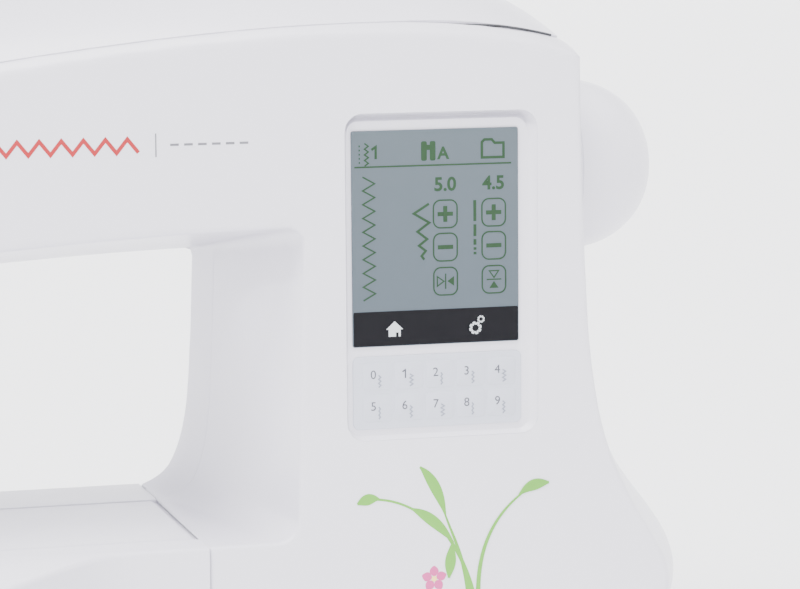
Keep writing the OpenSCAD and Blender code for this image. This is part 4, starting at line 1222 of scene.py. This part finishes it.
def build_dial():
    """Tension dial with a ribbed edge and generic figures on its face."""
    cx, cz, r = DIAL
    face = cad("tension_dial")[0][1]
    n = 120
    a = np.linspace(0, 2 * math.pi, n, endpoint=False)
    rib = np.where(np.arange(n) % 4 < 2, 1.0, 0.965)
    plain_back = [(r, FRONT_Y + 5.4, 0), (r, FRONT_Y + 0.4, 0)]
    ribs = [(r, FRONT_Y - 0.3, 1), (r, face + 0.6, 1), (r - 0.6, face, 1)]
    plain_face = [(r - 2.6, face, 0), (r - 3.0, face + 0.35, 0), (0.1, face + 0.35, 0)]
    rings = [hoop(cx, cz, q * (rib if ribbed else 1), w, a) for q, w, ribbed in plain_back + ribs + plain_face]
    knob = sharp_by_angle(make_mesh("knob", np.vstack(rings), loft_faces(len(rings), n)), 28)
    spindle = turned("spindle", [(3, FRONT_Y + 5.3), (3, FRONT_Y + 28)], "y", (cx, 0, cz), 32)
    discs = []
    for w in (12.6, 15.6, 18.6):
        disc = [(8.2, FRONT_Y + w), (9, FRONT_Y + w + 0.3), (9, FRONT_Y + w + 0.8)]
        discs.append(turned("disc", disc, "y", (cx, 0, cz), 48))
    dress(joined("tension_knob", [knob, spindle] + discs), "grey_plastic", "dial", "tension_dial")
    figures = []
    for k in range(10):
        turn = math.radians(90 - 36 * k)
        at = (cx + (r - 5.2) * math.cos(turn), face + 0.35, cz + (r - 5.2) * math.sin(turn))
        figures.append(lettering("figure", str(k), 3.0, at, 0.2))
    dress(joined("tension_figures", figures), "key_ink", "dial", slot="grey_plastic")


def build_slider():
    """Speed slider: a ribbed cap, and a stem that runs in the slot."""
    low, high = cad("speed_slider")
    x, z = SLIDER[:2]
    parts = [block("cap", (low[0], high[0]), (low[2], high[2]), 2.0, 6,
                   [(0, FRONT_Y - 0.45), (0, low[1] + 0.8), (0.3, low[1] + 0.2), (1.0, low[1])]),
             block("stem", (x - 4, x + 4), (z - 1.5, z + 1.5), 0.4, 3, [(0, high[1]), (0, FRONT_Y - 0.6)]),
             block("back", (x - 5, x + 5), (z - 4, z + 4), 0.5, 3, [(0, high[1]), (0, high[1] - 1.5)])]
    for k in (-1, 0, 1):
        rib_x = x + k * 1.8
        parts.append(block("rib", (rib_x - 0.35, rib_x + 0.35), (low[2] + 1.8, high[2] - 1.8), 0.3, 3,
                           [(0, low[1] + 0.2), (0.1, low[1])]))
    dress(joined("speed_knob", parts), "grey_plastic", "slider", "speed_slider")


def build_wheel():
    """Handwheel: a straight rim, a fine groove and a full dome, with its hub and belt pulley."""
    left, right = WHEEL_LEFT - 0.5, wheel_high[0]
    straight, bulge = 4.5, 2.2
    dome_length = right - left - straight
    u = np.sin(np.radians(np.linspace(0, 90, 26)))
    rim = [(0, left), (WHEEL_R - 1.2, left), (WHEEL_R - 0.3, left + 0.4), (WHEEL_R, left + 1.2)]
    rim += [(WHEEL_R, left + 2.6), (WHEEL_R - 0.5, left + 3.0)]
    rim += [(WHEEL_R - 0.5, left + 3.5), (WHEEL_R, left + 3.9)]
    rim += [(WHEEL_R * max(1 - q ** bulge, 0) ** (1 / bulge), left + straight + dome_length * q) for q in u]
    wheel = turned("rim", rim, "x", (0, *WHEEL_YZ), 96, 40)
    hub_left = wheel_low[0]
    pulley = [(11, hub_left), (30, hub_left), (30, hub_left + 1), (28, hub_left + 1.2), (28, hub_left + 10.8),
              (30, hub_left + 11), (30, hub_left + 12), (11, hub_left + 12), (11, left)]
    hub = turned("hub", pulley, "x", (0, *WHEEL_YZ), 72)
    dress(joined("handwheel_skin", [wheel, hub]), "white_plastic", "main_shaft", "handwheel")


# ---- printed marks on the front ----

PRINT_Y = FRONT_Y - 0.005
PRINT_THICK = 0.07
FLOWER = (112.0, 62.0)


def leaf(path, width, name, lift=0.0):
    """A stem or leaf that swells along a curve."""
    pts = bezier(*path, 30)
    t = np.linspace(0, 1, 30)[:, None]
    half = width(t)
    step = unit(np.gradient(pts, axis=0))
    side = np.stack([-step[:, 1], step[:, 0]], 1) * half
    ring = np.vstack([pts + side, (pts - side)[::-1]])
    return patch(name, ring[::-1], PRINT_Y, 0.05 + lift)


def stem(t):
    """Half the width of a stem, t running from 0 to 1 along it."""
    return 0.35 + 0.55 * (1 - t)


def bud(t):
    """Half the width of a leaf."""
    return 0.3 + 1.9 * np.sin(math.pi * np.minimum(t, 0.97) ** 1.1)


def twig(t):
    """Half the width of a twig."""
    return 0.45 + 0 * t


def petal(t):
    """Half the width of a petal."""
    return 0.15 + 1.7 * np.sin(math.pi * t) ** 0.8


def build_sprig():
    """A sprig of stems and leaves and a five-petalled flower."""
    shapes = [(((126, 55), (124, 72), (119, 80), (116.5, 88)), stem),
              (((116.8, 87), (115, 95), (111, 103), (106.5, 107)), bud),
              (((128, 55), (124, 72), (115, 84), (108, 88)), stem),
              (((120, 76), (115, 83), (109, 88), (103, 90.5)), bud),
              (((104, 90), (99, 93), (94, 94.5), (89, 95)), twig),
              (((90, 95), (87, 96), (84, 95), (81, 93.5)), bud),
              (((119.5, 76), (119, 71), (118.5, 67), (118, 62)), bud),
              (((130, 55), (130, 74), (137, 86), (148, 94)), stem),
              (((147, 93.5), (151, 97.5), (155, 98), (159.5, 98)), bud)]
    green = [leaf(path, width, "green", 0.03 * k) for k, (path, width) in enumerate(shapes)]
    dress_extra("printed_sprig", green, "leaf")
    petals = []
    cx, cz = FLOWER
    for k in range(5):
        a = math.radians(90 + 72 * k)
        tip = (cx + 5.2 * math.cos(a), cz + 5.2 * math.sin(a))
        root = (cx + 0.9 * math.cos(a), cz + 0.9 * math.sin(a))
        third = [(root[0] + (tip[0] - root[0]) * f, root[1] + (tip[1] - root[1]) * f) for f in (0.33, 0.66)]
        petals.append(leaf((root, *third, tip), petal, "petal"))
    dress_extra("printed_petals", petals, "bloom")
    heart = patch("heart", arc(cx, cz, 1.1, 0, 345, 23), FRONT_Y - 0.08, 0.05)
    dress_extra("printed_heart", [heart], "bloom_heart")


def build_stitch_line():
    """A stitched zigzag, a plain rule and a dashed line on the arm."""
    z = 236.3
    zig = [(-62 + 4.2 * i, z + (2.6 if i % 2 else -2.6)) for i in range(15)]
    stitch = stroke("stitch", zig, 1.5, PRINT_Y, thick=PRINT_THICK)
    dress_extra("printed_stitch", [stitch], "red_thread")
    rule = [stroke("rule", [(3.5, z - 4.5), (3.5, z + 4.5)], 0.5, PRINT_Y, thick=PRINT_THICK)]
    for i in range(6):
        dash = [(9 + 5.4 * i, z), (12.4 + 5.4 * i, z)]
        rule.append(stroke("dash", dash, 0.9, PRINT_Y, thick=PRINT_THICK))
    dress_extra("printed_rule", rule, "grey_print")


# ---- sewing parts that need more shape ----

def build_foot():
    """A zigzag foot with turned-up toes."""
    low, high = cad("presser_foot")
    mid_x = (low[0] + high[0]) / 2
    half = (high[0] - low[0]) / 2
    slot_half, cross = 4.7, 29.0
    toe = ((8.0, 2.2), (9.5, 1.0), (12, 0.25), (15, 0), (29, 0))
    base = low[2]
    parts = []
    for side in (-1, 1):
        strip = []
        for y, lift in toe:
            inner = slot_half - (1.4 if y < 15 else 0)
            x0, x1 = sorted((mid_x + side * inner, mid_x + side * (half - (1.2 if y < 9 else 0))))
            z = base + lift
            strip.append([(x0, y, z), (x1, y, z), (x1, y, z + 2), (x0, y, z + 2)])
        parts.append(sharp_by_angle(make_mesh("toe", np.vstack(strip), loft_faces(len(toe), 4)), 25))
    parts.append(slab("heel", round_box((mid_x - half, mid_x + half), (cross, 42), 2.5, 6), "plan",
                      [(0, base), (0, base + 1.6), (0.4, base + 2)]))
    for side in (-1, 1):
        near, far = sorted((mid_x + side * 3.6, mid_x + side * 5.2))
        ring = np.vstack([arc(*FOOT_AXIS, 2.3, 0, 180, 12), [[35.9, base + 1], [40.1, base + 1]]])
        parts.append(slab("ear", ring, "end", eased(near, far, 0.25)))
    pin = turned("pin", [(1, mid_x - 5.2), (1, mid_x + 5.2)], "x", (0, *FOOT_AXIS), 24)
    dress(joined("zigzag_foot", parts + [pin]), "chrome", "foot", "presser_foot")


def build_thread():
    """A thread guide of bent wire on the needle bar, and the lamp's lens."""
    x, y, z = -158.0, 25.0, 129.0
    bend = bezier((x + 2.5, y - 4.6, z), (x + 4.5, y - 8, z + 0.5),
                  (x - 4.5, y - 8.2, z), (x - 3.2, y - 4.7, z - 0.8), 24)
    dress(tube("needle_thread_guide", bend, 0.35, 10), "chrome", "needle_bar", slot="chrome")
    lamp = turned("lamp_dome", [(5.5, 151.8), (5.5, 150.4), (4.6, 149.4), (2.4, 148.8), (0, 148.7)], "z",
                  (-122, 30, 0), 40)
    dress(joined("sewing_light", [lamp]), "lamp", "root", slot="clear_plastic")


build_covers()
build_lid()
build_lid_seal()
build_free_arm()
build_table()
build_base()
build_face_cover()
build_hinge_ears()
build_bezel()
build_screen()
build_screen_marks()
build_screen_bar()
build_keypad()
build_buttons()
build_dial()
build_slider()
build_wheel()
build_sprig()
build_stitch_line()
build_foot()
build_thread()


# ---- floor, light and camera ----

def build_stage():
    """A pale floor that curves up far away, so that no horizon shows."""
    flat, curve, top = 14.0, 5.0, 9.0
    turn = np.radians(np.linspace(0, 90, 13))
    profile = [(0.01, 0), (flat, 0)]
    profile += [(flat + curve * math.sin(a), curve * (1 - math.cos(a))) for a in turn[1:]]
    profile.append((flat + curve, top))
    around = np.linspace(0, 2 * math.pi, 64, endpoint=False)
    points = [(r * math.cos(a), r * math.sin(a), h) for r, h in profile for a in around]
    faces = [tuple(range(64))] + [f[::-1] for f in loft_faces(len(profile), 64, False)]
    mesh = bpy.data.meshes.new("floor")
    mesh.from_pydata(points, [], faces)
    mesh.shade_smooth()
    floor = linked("floor", mesh)
    g = Graph("floor")
    g.set(specular_ior_level=0.1)
    g.colour(g.noise(1.5), [(0.3, (0.96, 0.96, 0.965, 1)), (0.7, (0.96, 0.96, 0.965, 1))])
    g.shader.inputs["Roughness"].default_value = 0.8
    floor.data.materials.append(g.material)


def area(name, at, target, size, power):
    """A rectangular light at a place, turned to a target."""
    light = bpy.data.lights.new(name, "AREA")
    light.shape = "RECTANGLE"
    light.size, light.size_y = size
    light.energy = power
    obj = linked(name, light)
    obj.visible_camera = False
    obj.location = at
    obj.rotation_euler = (Vector(target) - Vector(at)).to_track_quat("-Z", "Y").to_euler()


def build_light():
    """Soft light from all round, one large key light, a faint one under the arm and an overhead sun."""
    world = bpy.data.worlds.new("studio")
    world.use_nodes = True
    bpy.context.scene.world = world
    back = world.node_tree.nodes["Background"]
    back.inputs["Color"].default_value = (0.93, 0.94, 1.0, 1)
    back.inputs["Strength"].default_value = 1.2
    area("key", (-1.1, -1.3, 1.7), (0.05, 0, 0.15), (1.2, 0.9), 12)
    area("work_light", (-0.04, 0.01, 0.176), (-0.04, -0.01, 0.08), (0.17, 0.06), 0.05)
    sun = bpy.data.lights.new("overhead", "SUN")
    sun.energy = 8.4
    sun.angle = 0.9
    lamp = linked("overhead", sun)
    lamp.rotation_euler = Vector((0.26, 0.22, -0.95)).to_track_quat("-Z", "Y").to_euler()


def build_camera():
    """A long lens from the front left, a little above the machine."""
    focal_pixels, width = 3341.0, 800
    yaw, pitch, roll = (math.radians(v) for v in (15.2, 7.2, 0.45))
    ahead = Vector((math.sin(yaw) * math.cos(pitch), math.cos(yaw) * math.cos(pitch), -math.sin(pitch)))
    right = Vector((math.cos(yaw), -math.sin(yaw), 0))
    up = right.cross(ahead)
    right, up = math.cos(roll) * right - math.sin(roll) * up, math.sin(roll) * right + math.cos(roll) * up
    data = bpy.data.cameras.new("camera")
    data.sensor_width = 36
    data.lens = focal_pixels / width * data.sensor_width
    data.clip_end = 100
    camera = linked("camera", data)
    turn = Matrix((right, up, -ahead)).transposed().to_4x4()
    place = Vector((-238.9, -1283.5, 338.2)) * MM
    camera.matrix_world = Matrix.Translation(place) @ turn
    bpy.context.scene.camera = camera


build_stage()
build_light()
build_camera()
